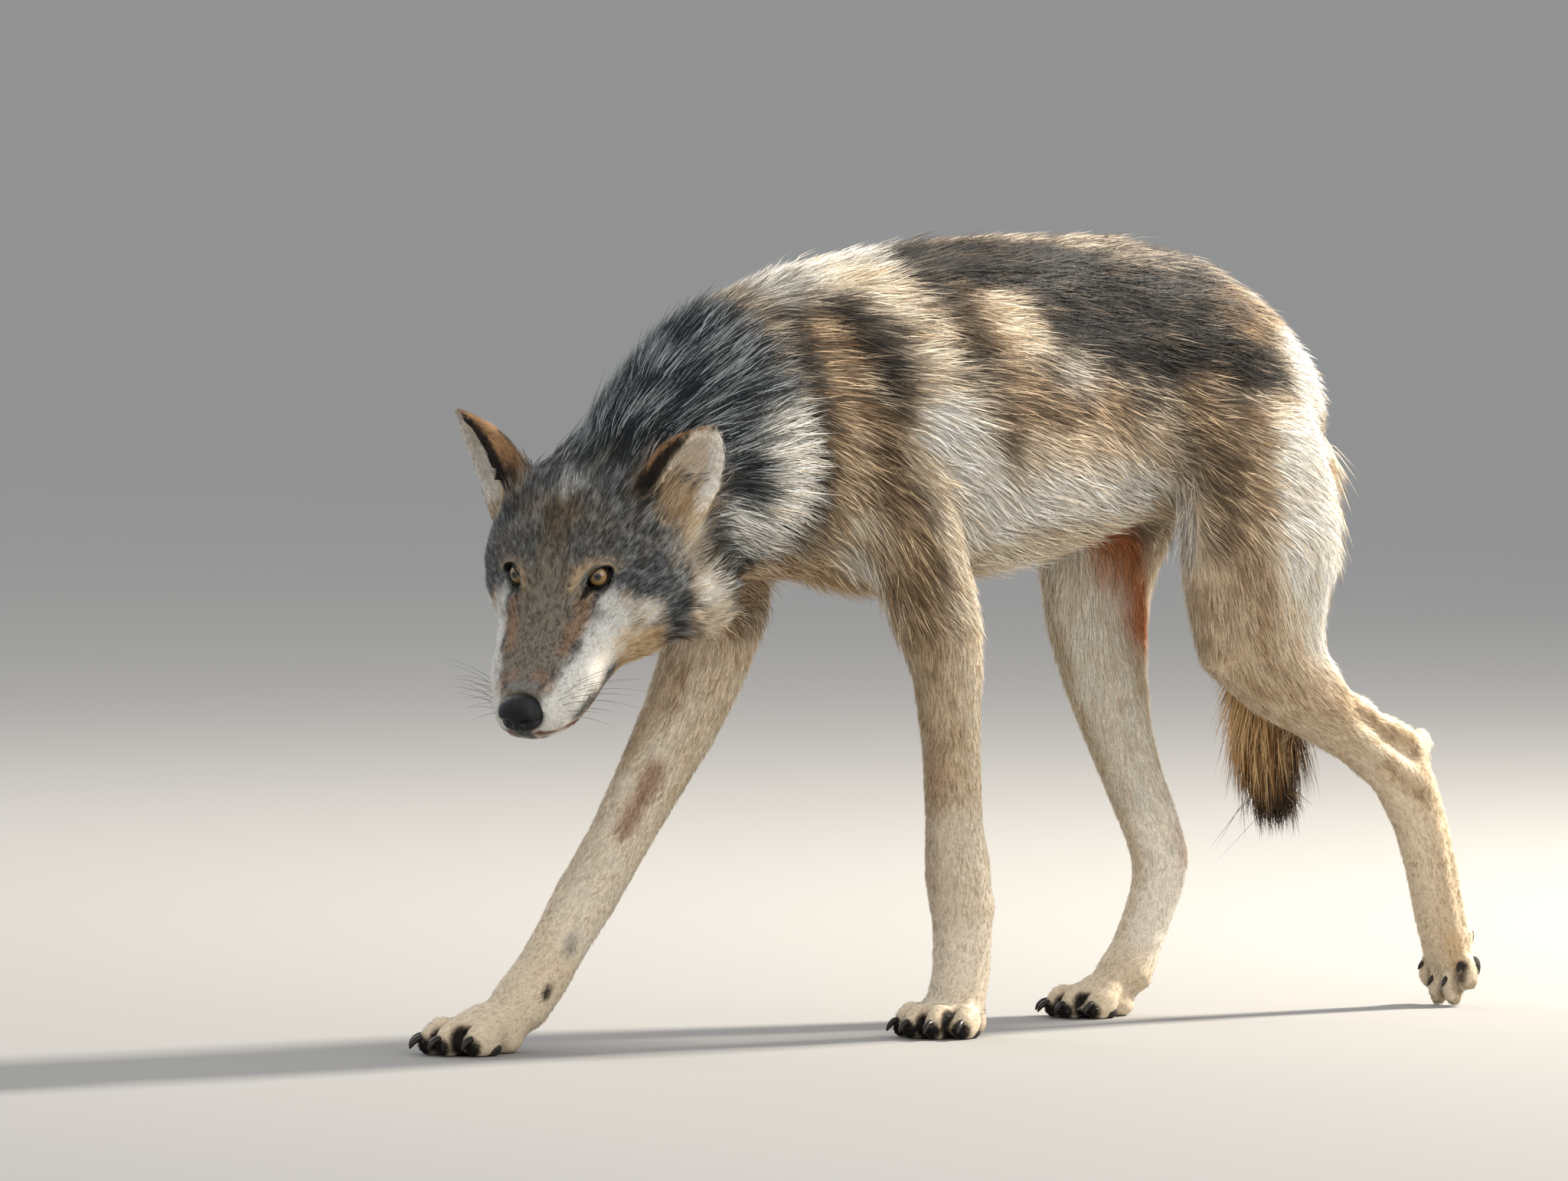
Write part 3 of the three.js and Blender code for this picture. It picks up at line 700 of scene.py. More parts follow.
HEAD_MARKS = marks(
    Space.HEAD,
    (Hue.BROWN_GREY, ((60, 26, 44), (40, 40, 36)), 22, 0.2, 1.4),
    (Hue.PALE_GREY, ((112, 18, 46), (82, 7, 47)), 3.6, 0.7, 1.4),
    (Hue.PALE_GREY, ((102, 4, 48), (66, 3, 45)), 3.0, 0.6, 1.4),
    (Hue.MIDLINE, ((56, 6, 42), (33, 2, 36), (6, 0, 25), (-10, 0, 18)), 15, 0.9, 1.4),
    (Hue.BRIDGE, ((-14, 0, 12), (-40, 0, 0), (-73, 0, -14), (-112, 0, -23)), 33, 0.95, 0.8),
    (Hue.PALE_GREY, ((-139, 30, -52), (-116, 42, -44), (-68, 52, -42), (-37, 58, -32), (-14, 68, -32)),
     19, 1.0, 0.7),
    (Hue.PALE_GREY, ((-20, 58, -14), (0, 64, -12), (-6, 70, -22)), 9, 0.85, 0.7),
    (Hue.WHITE, ((-128, 22, -88), (-100, 24, -102), (-60, 26, -114)), 26, 0.95, 0.7),
    (Hue.WHITE, ((-70, 54, -58), (-40, 60, -52)), 16, 0.9, 1.0),
    (Hue.CREAM, ((-26, 68, -62), (-6, 76, -84)), 19, 0.95, 0.7),
    (Hue.PALE_TAN, ((0, 46, -105), (40, 50, -145), (100, 40, -140)), 48, 0.95, 0.5),
    (Hue.CROWN, ((10, 72, -4), (17, 82, -12), (18, 92, -32), (30, 100, -56), (38, 97, -90), (32, 76, -112)),
     19, 0.95, 0.8),
    (Hue.SLATE, ((24, 92, -30), (30, 98, -54), (40, 98, -88)), 12, 0.6, 1.2),
    (Hue.CROWN, ((24, 90, -74), (20, 82, -94)), 9, 0.45, 1.2),
    (Hue.WHITE, ((0, 84, -42), (4, 86, -54)), 12, 0.95, 1.0),
    (Hue.BROWN_GREY, ((-4, 70, -16), (-6, 75, -36), (-9, 76, -56)), 4.5, 0.7, 1.3),
    (Hue.RUST, ((46, 108, -98), (40, 98, -118)), 9, 0.5, 1.2),
    (Hue.CREAM, ((92, 112, -14), (84, 114, -42), (74, 114, -66), (66, 116, -95), (62, 102, -130)),
     19, 1.0, 0.9),
    (Hue.WHITE, ((82, 116, -46), (72, 118, -85)), 14, 0.95, 1.0),
    (Hue.SMOKE, ((71, 74, 29), (70, 89, 15), (63, 101, -12)), 5, 0.6, 1.4),
    (Hue.RUST, ((-22, 39, -4), (-36, 38, -12), (-56, 32, -19), (-72, 28, -24)), 8, 0.65, 1.5),
    (Hue.BROWN_GREY, ((-24, 22, 6), (-12, 25, 12), (-2, 30, 16), (8, 42, 20), (17, 54, 18), (17, 66, 6)),
     7, 0.25, 1.4),
    (Hue.PALE_TAN, ((-18, 26, 5), (-8, 29, 11), (-3, 33, 14)), 4.0, 0.6, 1.2),
    (Hue.PALE_TAN, ((2, 37, 15), (10, 47, 15), (13, 57, 10), (9, 66, 1)), 2.4, 0.45, 1.3),
    (Hue.SMOKE, ((-30, 50, -22), (-16, 56, -24)), 6, 0.5, 1.3),
    (Hue.ROSE, ((-108, 14, -25), (-114, 24, -33)), 8, 0.5, 1.2),
    (Hue.SMOKE, ((-118, 0, -24), (-117, 14, -26)), 5, 0.7, 1.1),
    (Hue.BLACK, ((-117, 19, -28),), 2.4, 0.6, 1.2),
    (Hue.BLACK, ((-113, 22, -27),), 2.0, 0.5, 1.2),
    (Hue.BLACK, ((-72, 43, -29),), 1.8, 0.8, 0.7),
    (Hue.BLACK, ((-84, 38, -27),), 1.6, 0.8, 0.7),
    (Hue.BLACK, ((-54, 27, -13),), 1.6, 0.6, 0.7),
    (Hue.LIP, MOUTH, 4.4, 1.0, 0.8),
    (Hue.PALE_TAN, ((90, 92, 8), (96, 100, -2), (108, 102, 10), (104, 92, 20)), 15, 0.85, 0.9),
    (Hue.BLACK, ((80, 73, 28), (90, 79, 27)), 7, 0.85, 0.9),
)


class Markings:
    """The colours of the whole animal, for its skin and its coat alike."""

    def ear_hues(self, local: Array, normals: Array, side: int) -> Array:
        """The mixtures on one ear, with painted shadow in its fold, from its height, its two edges and
        whether it faces out of the cup.

        Args:
            local: Points of the head's frame.
            normals: The skin's normals there.
            side: Which ear it is.

        Returns:
            Seven numbers a point.
        """
        ear = Ear(side)
        t, angle, radius = ear.place(local)
        turn = np.degrees(angle)
        places = HEAD.world(local)
        wall = ramp(0.3, -0.3, np.sum(normals * HEAD.turn(ear.rays(angle)), axis=1)) * ramp(118, 98, turn)
        front = ramp(0.1, 0.5, normals @ HEAD.turn(ear.axes()[2])) * ramp(0.6, 0.42, radius * np.sin(angle))
        inside = np.maximum(wall, front)
        shade = hump(np.stack([turn, t * 100, 0 * t], axis=1), (-6, 45, 0), (28, 26, 1))
        layers = (
            # the back, its dark fold, which is painted shadow on the inner face of the curled edge, and the
            # dark foot of the fold
            (Hue.RUST, 0.6 * ramp(0.4, 0.75, mottle(places, 0.012, 5))),
            (Hue.RUST, ramp(40, 62, turn) * ramp(112, 98, turn) * ramp(0.0, 0.2, t)),
            # painted shadow where the inner edge curls over the cup
            (Hue.BLACK, 0.9 * ramp(100, 112, turn) * ramp(1.02, 0.9, t)),
            (Hue.BLACK, 0.8 * ramp(0.3, 0.1, t) * ramp(50, 90, turn)),
            # the inside, with a dark tip, a shaded middle and a tan foot
            (Hue.CREAM, inside),
            (Hue.WHITE, 0.5 * inside * ramp(0.1, 0.5, t)),
            (Hue.BLACK, 0.7 * front * ramp(0.86, 0.98, t) * ramp(-20, 10, turn)),
            (Hue.BROWN_GREY, 0.45 * inside * shade),
            (Hue.PALE_TAN, 0.5 * front * ramp(0.4, 0.15, t)),
            (Hue.BROWN_GREY, 0.5 * front * ramp(0.15, 0.0, t)),
            # the outer edge
            (Hue.WHITE, ramp(-42, -62, turn) * np.maximum(wall, ramp(-76, -86, turn)) * ramp(-0.1, 0.2, t)),
            (Hue.RUST, 0.5 * (1 - inside) * ramp(-70, -84, turn)),
        )
        rows = Hue.DARK_RUST.row * np.ones((len(local), 1))
        for hue, weight in layers:
            rows = covered(rows, hue.row, weight)
        return rows

    def mix(self, points: Array, normals: Array, shares: Array, seen: Array) -> Array:
        """The mixture of hair at each point.

        Args:
            points: Places on the skin, in metres.
            normals: The skin's normals there.
            shares: How much each point belongs to each region.
            seen: Where the hair that grows from each point shows.

        Returns:
            Light colour, dark colour and dark share, seven numbers a point.
        """
        rows = shares @ np.array([BASE_HUE[region].row for region in Region])
        body = (seen - ORIGIN) / MM
        head = HEAD.local(seen)
        rooted = HEAD.local(points)
        streak = np.stack([points[:, 0] * 0.35, points[:, 1], points[:, 2] + points[:, 0] * 0.3], axis=1)
        ragged = 0.55 * mottle(streak, 0.02, 1) + 0.45 * mottle(streak, 0.008, 2)
        fine = 0.5 * mottle(points, 0.009, 3) + 0.5 * mottle(points, 0.0045, 4)
        off_head = 1.0 - ramp(0.3, 0.7, shares[:, Region.HEAD.value] + shares[:, Region.EAR.value])
        for mark in BODY_MARKS:
            rows = covered(rows, mark.hue.row, mark.weight(body, head, normals, ragged) * off_head)
        # painted shade between the toes, and darker round the claws
        for paw in PAWS:
            rows = covered(rows, Hue.BLACK.row, paw.darkness(points))
        near_head = ramp(0.1, 0.5, shares[:, Region.HEAD.value])
        patchy = 0.2 * near_head * ramp(0.45, 0.8, mottle(points, 0.018, 6))
        rows = covered(rows, Hue.BROWN_GREY.row, patchy)
        ear_share = ramp(0.3, 0.7, shares[:, Region.EAR.value])
        for mark in HEAD_MARKS:
            rows = covered(rows, mark.hue.row, mark.weight(body, head, normals, fine) * near_head)
        for side in (LEFT, RIGHT):
            own = ear_share * (rooted[:, 1] * side > 0)
            rows = covered(rows, self.ear_hues(rooted, normals, side), own)
            rows = covered(rows, Hue.BLACK.row, Lids(side).liner(rooted) * near_head)
        return rows


# ---- Skin ----


MOUTH_DEPTH = 3.2  # how deep the line of the lips is cut, and half its width, in millimetres
MOUTH_WIDTH = 2.4
LEG_TOP = 460  # height in the working frame below which a leg stands alone
SHOWN_AT = 0.42  # share of a hair's length at which its colour shows
SKIN_GAP = 0.8  # how much deeper than the lying hair the skin is set, in millimetres
TIP_LIFT = 0.15  # share of a tuft's lift that is left at its tip
MEAN_LIFT = (1 + TIP_LIFT) / 2


@dataclass(frozen=True)
class Swell:
    """A soft swelling or hollow of the skin of the head, the same on both sides, in millimetres."""

    centre: Triple
    radii: Triple
    amount: float


FACE_FORMS = (
    Swell((4, 33, 17), (20, 16, 9), 2.2),  # brow ridges
    Swell((-6, 0, 14), (34, 9, 16), -3.0),  # furrow between the eyes
    Swell((50, 0, 46), (40, 7, 14), -1.5),  # seam of the forehead
    Swell((14, 74, -28), (28, 16, 14), 3.0),  # cheek bones
    Swell((-70, 42, -40), (30, 16, 18), 5.0),  # sides of the muzzle
    Swell((-40, 50, -40), (20, 14, 18), 3.5),
    Swell((116, 22, 44), (32, 40, 28), 6.0),  # back of the crown
    Swell((8, 56, -108), (38, 30, 26), 8.0),  # loose skin behind the jaw
    Swell((-112, 33, -54), (22, 12, 11), 2.0),  # whisker pads
    Swell((-28, 34, -2), (14, 5, 6), -2.0),  # tear grooves
    Swell((-128, 9, -34), (8, 6, 6), 1.2),
)


@dataclass(frozen=True)
class Hollow:
    """A hollow or a ridge that runs along both flat sides of one leg, seen from the side.

    Attributes:
        side: Which side of the body the leg is on.
        line: Its run as x and z, in the solids' working frame.
        radius: Half its width.
        amount: How far the skin moves out, in millimetres.
        edge: Share of it that also moves the leg's front and back edges.
    """

    side: int
    line: tuple[tuple[float, float], ...]
    radius: float
    amount: float
    edge: float = 0.0

    def push(self, body: Array, normals: Array) -> Array:
        """How far each point moves out along its normal, in millimetres.

        Args:
            body: Points of the solids' working frame.
            normals: The skin's normals there.

        Returns:
            One distance for each point.
        """
        gap = line_gap(body[:, [0, 2]], self.line)
        own = (body[:, 1] * self.side > 0) & (body[:, 2] < LEG_TOP)
        facing = np.maximum(np.abs(normals[:, 1]), self.edge)
        return own * self.amount * np.exp(-((gap / self.radius) ** 2)) * facing


LEG_FORMS = (
    Hollow(LEFT, ((650, 294), (696, 266), (732, 248)), 8.0, -8.0),  # between shin and heel tendon
    Hollow(LEFT, ((668, 302), (700, 283), (732, 268)), 9.0, 8.0, 1.0),  # the tendon
    Hollow(LEFT, ((690, 240), (736, 208)), 7.0, -3.5),
    Hollow(LEFT, ((744, 224), (752, 214)), 9.0, 3.5, 0.3),
    Hollow(LEFT, ((776, 190), (788, 140), (804, 80)), 5.0, -3.5),
    Hollow(RIGHT, ((470, 300), (490, 241), (516, 178), (524, 158)), 7.5, -7.0),
    Hollow(RIGHT, ((512, 140), (500, 80)), 5.0, -1.5),
    Hollow(LEFT, ((172, 330), (184, 250), (190, 190)), 6.0, -4.0),  # behind the forearm's bone
    Hollow(LEFT, ((166, 152), (168, 130)), 14.0, 3.0, 0.8),
    Hollow(LEFT, ((196, 128), (198, 122)), 8.0, 3.5, 1.0),
    Hollow(RIGHT, ((-70, 310), (-128, 250), (-172, 200)), 7.0, -4.0),
    Hollow(RIGHT, ((-205, 150), (-215, 135)), 14.0, 3.0, 0.8),
)


class Net:
    """The points of a mesh and their neighbours, for smoothing and spreading values."""

    def __init__(self, mesh: Mesh) -> None:
        """Reads the mesh's points and edges.

        Args:
            mesh: The mesh.
        """
        self.mesh = mesh
        self.count = len(mesh.vertices)
        self.edges = read(mesh.edges, "vertices", 2, np.int64)
        self.degree = np.maximum(np.bincount(self.edges.ravel(), minlength=self.count), 1)

    def points(self) -> Array:
        """Every point of the mesh."""
        return read(self.mesh.vertices, "co", 3)

    def normals(self) -> Array:
        """The mesh's normal at every point."""
        return read(self.mesh.vertex_normals, "vector", 3)

    def move(self, points: Array) -> None:
        """Puts the mesh's points elsewhere."""
        self.mesh.vertices.foreach_set("co", np.ascontiguousarray(points, dtype=float).ravel())
        self.mesh.update()

    def step(self, values: Array, share: object) -> Array:
        """Each point's values moved a share of the way to the mean of its neighbours' values.

        Args:
            values: One value or row for each point.
            share: How far they move.

        Returns:
            The new values.
        """
        flat = values.reshape(self.count, -1)
        a, b = self.edges[:, 0], self.edges[:, 1]
        mean = np.empty_like(flat)
        for k in range(flat.shape[1]):
            total = np.bincount(a, flat[b, k], self.count) + np.bincount(b, flat[a, k], self.count)
            mean[:, k] = total / self.degree
        return (flat + (mean - flat) * share).reshape(values.shape)

    def spread(self, values: Array, rounds: int) -> Array:
        """Values evened out over the surface.

        Args:
            values: One value or row for each point.
            rounds: How often it is done.

        Returns:
            The new values.
        """
        for _ in range(rounds):
            values = self.step(values, 0.6)
        return values

    def smooth(self, rounds: int, mask: object = 1.0) -> None:
        """Evens the surface without shrinking it much, where the mask says so.

        Args:
            rounds: How often it is done.
            mask: Its strength, for all or for each point.
        """
        points = self.points()
        for _ in range(rounds):
            points = self.step(points, 0.5 * mask)
            points = self.step(points, -0.52 * mask)
        self.move(points)


@dataclass
class Lie:
    """How the coat lies at every point of the skin.

    Attributes:
        depth: From the skin to the coat's surface, in millimetres.
        length: Of the hair, in millimetres.
        width: Of a tuft, in millimetres.
        lift: Of a tuft's root from the skin, in degrees.
        cover: How many layers of tufts lie over one another.
    """

    depth: Array
    length: Array
    width: Array
    lift: Array
    cover: Array

    def stack(self) -> Array:
        """The values side by side."""
        return np.stack([self.depth, self.length, self.width, self.lift, self.cover], axis=1)


@dataclass
class Skin:
    """The wolf's skin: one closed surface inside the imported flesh, by the depth of the coat.

    Attributes:
        voxel: Spacing of its points, in metres.
        join: How far each solid is grown first, so that neighbours meet.
        thin_ears: Share of the ears' thickness that is left near their tips.
        values: What the survey found at every point, by name.
        tree: The finished skin, for finding its nearest place.
    """

    voxel: float = 0.0055
    join: float = 0.0005
    thin_ears: float = 0.5
    values: dict[str, Array] = field(default_factory=dict)
    tree: BVHTree | None = None

    def gather(self) -> Object:
        """One object with all solids of flesh, grown until they meet, and the two ears.

        Returns:
            The object.
        """
        whole = bmesh.new()
        for name, region in REGION_OF.items():
            if region is Region.EAR:
                continue
            bm = bmesh.new()
            bm.from_mesh(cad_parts[name].data)
            bmesh.ops.remove_doubles(bm, verts=bm.verts, dist=1e-5)
            bm.normal_update()
            for vert in bm.verts:
                vert.co += vert.normal * self.join
            self.append(whole, bm)
        for side in (LEFT, RIGHT):
            self.append(whole, Ear(side).shell())
        return linked("flesh", written("flesh", whole))

    @staticmethod
    def append(whole: BMesh, bm: BMesh) -> None:
        """Adds one mesh to another and frees it.

        Args:
            whole: The mesh that grows.
            bm: The one that is added.
        """
        mesh = written("piece", bm)
        whole.from_mesh(mesh)
        bpy.data.meshes.remove(mesh)

    def remeshed(self, flesh: Object) -> Mesh:
        """The joined flesh as one even net of quads.

        Args:
            flesh: The object, which is removed.

        Returns:
            The new mesh.
        """
        modifier = flesh.modifiers.new("even", "REMESH")
        modifier.mode = "VOXEL"
        modifier.voxel_size = self.voxel
        modifier.adaptivity = 0.0
        view = bpy.context.evaluated_depsgraph_get()
        mesh = bpy.data.meshes.new_from_object(flesh.evaluated_get(view))
        bpy.data.objects.remove(flesh)
        return mesh

    def nearest_nodes(self, points: Array) -> Array:
        """Which solid of flesh lies nearest to each point, by its place among their names.

        Args:
            points: Places, in metres.

        Returns:
            One number for each point.
        """
        verts, faces, owner = [], [], []
        for index, name in enumerate(FLESH):
            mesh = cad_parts[name].data
            start = len(verts)
            verts.extend(v.co[:] for v in mesh.vertices)
            faces.extend(tuple(start + i for i in p.vertices) for p in mesh.polygons)
            owner.extend([index] * len(mesh.polygons))
        tree = BVHTree.FromPolygons(verts, faces)
        return np.array([owner[tree.find_nearest(co)[2]] for co in points.tolist()])

    def flow(self, points: Array, normals: Array, node: Array) -> Array:
        """The way the hair grows, before it is evened out.

        Args:
            points: Places on the skin, in metres.
            normals: The skin's normals there.
            node: The nearest solid to each point, by its place among their names.

        Returns:
            One direction for each point.
        """
        head = HEAD.local(points)
        region = REGION_NUMBERS[node]
        way = np.tile([1.0, 0.0, -0.30], (len(points), 1))
        low = ramp(0.66, 0.46, points[:, 2])
        way[:, 2] -= 0.45 * low
        shoulder = ramp(0.0, -0.2, points[:, 0])
        way[:, 2] -= 0.35 * shoulder * low
        under = ramp(-0.3, -0.9, normals[:, 2])
        way = np.where((region == Region.TRUNK.value)[:, None], way + under[:, None] * [0.3, 0, 0.5], way)
        neck = np.array([0.93, 0.06, 0.28]) + ramp(0.5, -0.7, normals[:, 2])[:, None] * [0.0, 0.0, -0.85]
        way = np.where((region == Region.NECK.value)[:, None], neck, way)
        side = np.sign(head[:, 1])
        spread = unit(np.stack([head[:, 0] + 190, head[:, 1] * 0.9, (head[:, 2] + 42) * 0.7], axis=1))
        cheek = ramp(-20, 50, head[:, 0]) * ramp(0, -40, head[:, 2])
        spread += cheek[:, None] * np.stack([0 * side, 0.15 * side, -0.25 + 0 * side], axis=1)
        spread[:, 1] -= 0.25 * side * ramp(-40, -100, head[:, 0])
        way = np.where((region == Region.HEAD.value)[:, None], HEAD.turn(spread), way)
        for ear_side in (LEFT, RIGHT):
            own = (region == Region.EAR.value) & (head[:, 1] * ear_side > 0)
            _, rise, _, medial = Ear(ear_side).axes()
            t, angle, _ = Ear(ear_side).place(head)
            fan = unit(rise) + medial * (0.25 * np.sin(angle))[:, None] * ramp(0.9, 0.3, t)[:, None]
            way = np.where(own[:, None], HEAD.turn(fan), way)
        for limb in LIMBS:
            own = np.isin(node, [FLESH.index(name) for name in limb.nodes])
            way[own] = limb.run(points[own])
        ahead = np.array([-1.0, 0.0, -0.25])
        foot = (region == Region.PAW.value) * ramp(0.06, 0.02, points[:, 2]) * (points[:, 0] < 0.5)
        way += (ahead - way) * foot[:, None]
        return unit(way)

    def lie(self, points: Array, normals: Array, node: Array) -> Lie:
        """How the coat lies, before it is evened out.

        Args:
            points: Places on the skin, in metres.
            normals: The skin's normals there.
            node: The nearest solid to each point, by its place among their names.

        Returns:
            The depth, length, width, lift and cover at each point.
        """
        head = HEAD.local(points)
        region = REGION_NUMBERS[node]
        height = points[:, 2]
        out = Lie(*(np.zeros(len(points)) for _ in range(5)))

        def put(part: Region, length: object, width: object, lift: object, cover: object) -> None:
            """Writes one region's values, millimetres and degrees."""
            where = region == part.value
            stores = (out.length, out.width, out.lift, out.cover)
            for store, value in zip(stores, (length, width, lift, cover)):
                store[where] = np.broadcast_to(value, where.shape)[where]

        put(Region.NECK, 54, 0.85, 19, 7.0)
        belly = ramp(-0.2, -0.8, normals[:, 2])
        put(Region.TRUNK, 36 + 6 * belly, 1.0, 19 + 12 * belly, 7.0)
        cap = 1 - 0.8 * ramp(-0.35, -0.7, normals[:, 2])
        put(Region.TAIL, (60 + 18 * ramp(0.34, 0.22, height)) * cap, 1.1, 33, 7.0)
        fore = np.interp(height, (0.0, 0.15, 0.25, 0.36, 0.43), (7.5, 9, 12, 18, 28))
        put(Region.FORELEG, fore, 0.75 + fore * 0.02, 15, 4.0)
        hind = np.interp(height, (0.0, 0.2, 0.3, 0.4, 0.5), (8.5, 11, 16, 24, 34))
        put(Region.HINDLEG, hind, 0.75 + hind * 0.015, 16, 4.5)
        put(Region.PAW, np.interp(height, (0.0, 0.1, 0.3), (6.5, 9, 14)), 0.9, 15, 3.0)
        mirrored = outward(head)
        ruff = hump(mirrored, (88, 88, -100), (52, 48, 48))
        back = ramp(30, 110, head[:, 0])
        eye = np.maximum(hump(mirrored, (0, 46, 0), (24, 24, 22)), hump(mirrored, (-20, 36, 0), (14, 10, 10)))
        muzzle = ramp(-25, -65, head[:, 0])
        ear_root = hump(mirrored, (92, 86, 16), (34, 34, 26))
        nape = hump(mirrored, (118, 14, 42), (34, 44, 28))
        throat = hump(mirrored, (8, 48, -108), (50, 42, 32))
        length = 11 + 12 * back + 24 * ruff + 8 * ear_root + 8 * nape + 8 * throat
        length = (length * (1 - muzzle) + 5.5 * muzzle) * (1 - 0.6 * eye)
        length = length * (1 - 0.35 * ramp(-112, -128, head[:, 0]))
        lift = 15 + 8 * ruff + 9 * nape + 6 * throat
        put(Region.HEAD, length, 0.5 + length * 0.012, lift, 4.6)
        put(Region.EAR, 10.0, 0.6, 13, 4.6)
        tall = out.length * np.sin(np.radians(out.lift * MEAN_LIFT))
        out.depth = (tall + SKIN_GAP) * (region != Region.EAR.value)
        return out

    def thin(self, net: Net, ear_share: Array) -> None:
        """Draws both walls of each ear together.

        Args:
            net: The skin's points.
            ear_share: How much each point belongs to an ear.
        """
        points = net.points()
        local = HEAD.local(points)
        for side in (LEFT, RIGHT):
            ear = Ear(side)
            t, angle, radius = ear.place(local)
            own = (ear_share > 0.5) & (local[:, 1] * side > 0) & (radius > 0.2)
            wide = np.interp(t, ear.at, ear.half_width)
            span = np.hypot(ear.depth(t, np.cos(angle)) * np.cos(angle), wide * np.sin(angle))
            off = (radius - 1.0) * span
            draw = 1.0 - (1.0 - self.thin_ears) * ramp(0.05, 0.35, t)
            moved = ear.surface(t, angle, 0.0) + ear.rays(angle) * (off * draw)[:, None]
            last = np.radians(108.0 + ear.fold(t))
            fit = own & (np.abs(off) < 9.0) & (angle > -1.9) & (angle < last) & (t > 0.05) & (t < 1.0)
            local[fit] = moved[fit]
        net.move(HEAD.world(local))

    def refine(self, mesh: Mesh, choose: object) -> None:
        """Splits the faces whose middle, in the head's frame, satisfies a test.

        Args:
            mesh: The skin.
            choose: The test, from points to flags.
        """
        bm = bmesh.new()
        bm.from_mesh(mesh)
        middles = np.array([f.calc_center_median()[:] for f in bm.faces])
        chosen = np.flatnonzero(choose(HEAD.local(middles)))
        bm.faces.ensure_lookup_table()
        edges = {edge for index in chosen.tolist() for edge in bm.faces[index].edges}
        bmesh.ops.subdivide_edges(bm, edges=list(edges), cuts=1, use_grid_fill=True)
        bm.to_mesh(mesh)
        bm.free()

    def sculpt(self, net: Net) -> None:
        """Presses the forms of the face into the skin.

        Args:
            net: The skin's points.
        """
        points, normals = net.points(), net.normals()
        local = HEAD.local(points)
        mirrored = outward(local)
        push = np.zeros(len(points))
        for form in FACE_FORMS:
            push += form.amount * hump(mirrored, form.centre, form.radii)
        push -= MOUTH_DEPTH * np.exp(-((line_gap(mirrored, MOUTH) / MOUTH_WIDTH) ** 2))
        push *= ramp(150, 60, local[:, 0])
        for form in LEG_FORMS:
            push += form.push((points - ORIGIN) / MM, normals)
        for paw in PAWS:
            push += paw.arch(points)
        moved = points + normals * (push * MM)[:, None]
        moved[:, 2] = np.maximum(moved[:, 2], 0.0008)
        net.move(moved)

    def lids(self, net: Net) -> None:
        """Draws the skin over each eyeball as two lids with an almond opening between them.

        Args:
            net: The skin's points.
        """
        local = HEAD.local(net.points())
        for side in (LEFT, RIGHT):
            lid = Lids(side)
            along, over, front = lid.measure(local)
            rho = np.hypot(along, over)
            own = (rho < lid.reach) & (front > -6) & (local[:, 1] * side > 0)
            ball = EYE_RADIUS + lid.thickness
            cap = np.sqrt(np.maximum(ball**2 - rho**2, 0.0)) - np.maximum(rho - ball, 0) * 2.5
            soft = 2.5
            blend = np.maximum(soft - np.abs(front - cap), 0.0) / soft
            raised = np.maximum(front, cap) + blend**2 * soft * 0.25
            sunk = np.minimum(front, cap - lid.sink)
            target = np.where(lid.inside(along, over), sunk, raised)
            front = np.where(own, front + (target - front) * ramp(lid.reach, 22, rho), front)
            local = np.where(own[:, None], lid.place(along, over, front), local)
        net.move(HEAD.world(local))

    def build(self) -> Object:
        """Makes the skin and keeps what the coat needs to know at each of its points.

        Returns:
            The skin's object.
        """
        mesh = self.remeshed(self.gather())
        net = Net(mesh)
        net.smooth(10)
        node = self.nearest_nodes(net.points())
        depth = net.spread(self.lie(net.points(), net.normals(), node).depth, 14)
        ear = (REGION_NUMBERS[node] == Region.EAR.value).astype(float)
        depth *= 1.0 - ramp(0.4, 0.8, net.spread(ear, 2))
        points, normals = net.points(), net.normals()
        sole = ramp(0.012, 0.004, points[:, 2])
        net.move(points - normals * (depth * (1 - 0.6 * sole) * MM)[:, None])
        net.smooth(6, ramp(0.02, 0.05, points[:, 2])[:, None])

        def near_face(q: Array) -> Array:
            """Faces where the hair is short: the muzzle, the forehead and the ears."""
            face = within(outward(q), (-175, 0, -135), (40, 110, 70))
            ears = within(outward(q), (50, 67, 5), (180, 157, 110))
            return face | ears

        self.refine(mesh, near_face)
        net = Net(mesh)
        net.smooth(3)
        self.thin(net, self.node_share(net, Region.EAR))
        net.smooth(2)

        def near_eyes(q: Array) -> Array:
            """Faces close to an eye or on the toes."""
            where = HEAD.world(q)
            toes = np.zeros(len(q), dtype=bool)
            for paw in PAWS:
                toes |= within(paw.frame.local(where), (-72, -46, -8), (-4, 46, 48))
            return toes | (np.linalg.norm(outward(q) - [0, 46, 0], axis=1) < 27)

        self.refine(mesh, near_eyes)
        net = Net(mesh)
        self.sculpt(net)
        net.smooth(1)
        self.lids(net)
        mesh.shade_smooth()
        self.survey(net)
        return linked("skin", mesh)

    def node_share(self, net: Net, region: Region) -> Array:
        """How much each point belongs to one region, evened out a little."""
        own = REGION_NUMBERS[self.nearest_nodes(net.points())] == region.value
        return net.spread(own.astype(float), 3)

    def nearest(self, points: Array) -> tuple[Array, Array]:
        """The nearest point of the skin to each point, and the way the skin faces there."""
        found = [self.tree.find_nearest(co) for co in points.tolist()]
        return np.array([hit[0][:] for hit in found]), np.array([hit[1][:] for hit in found])

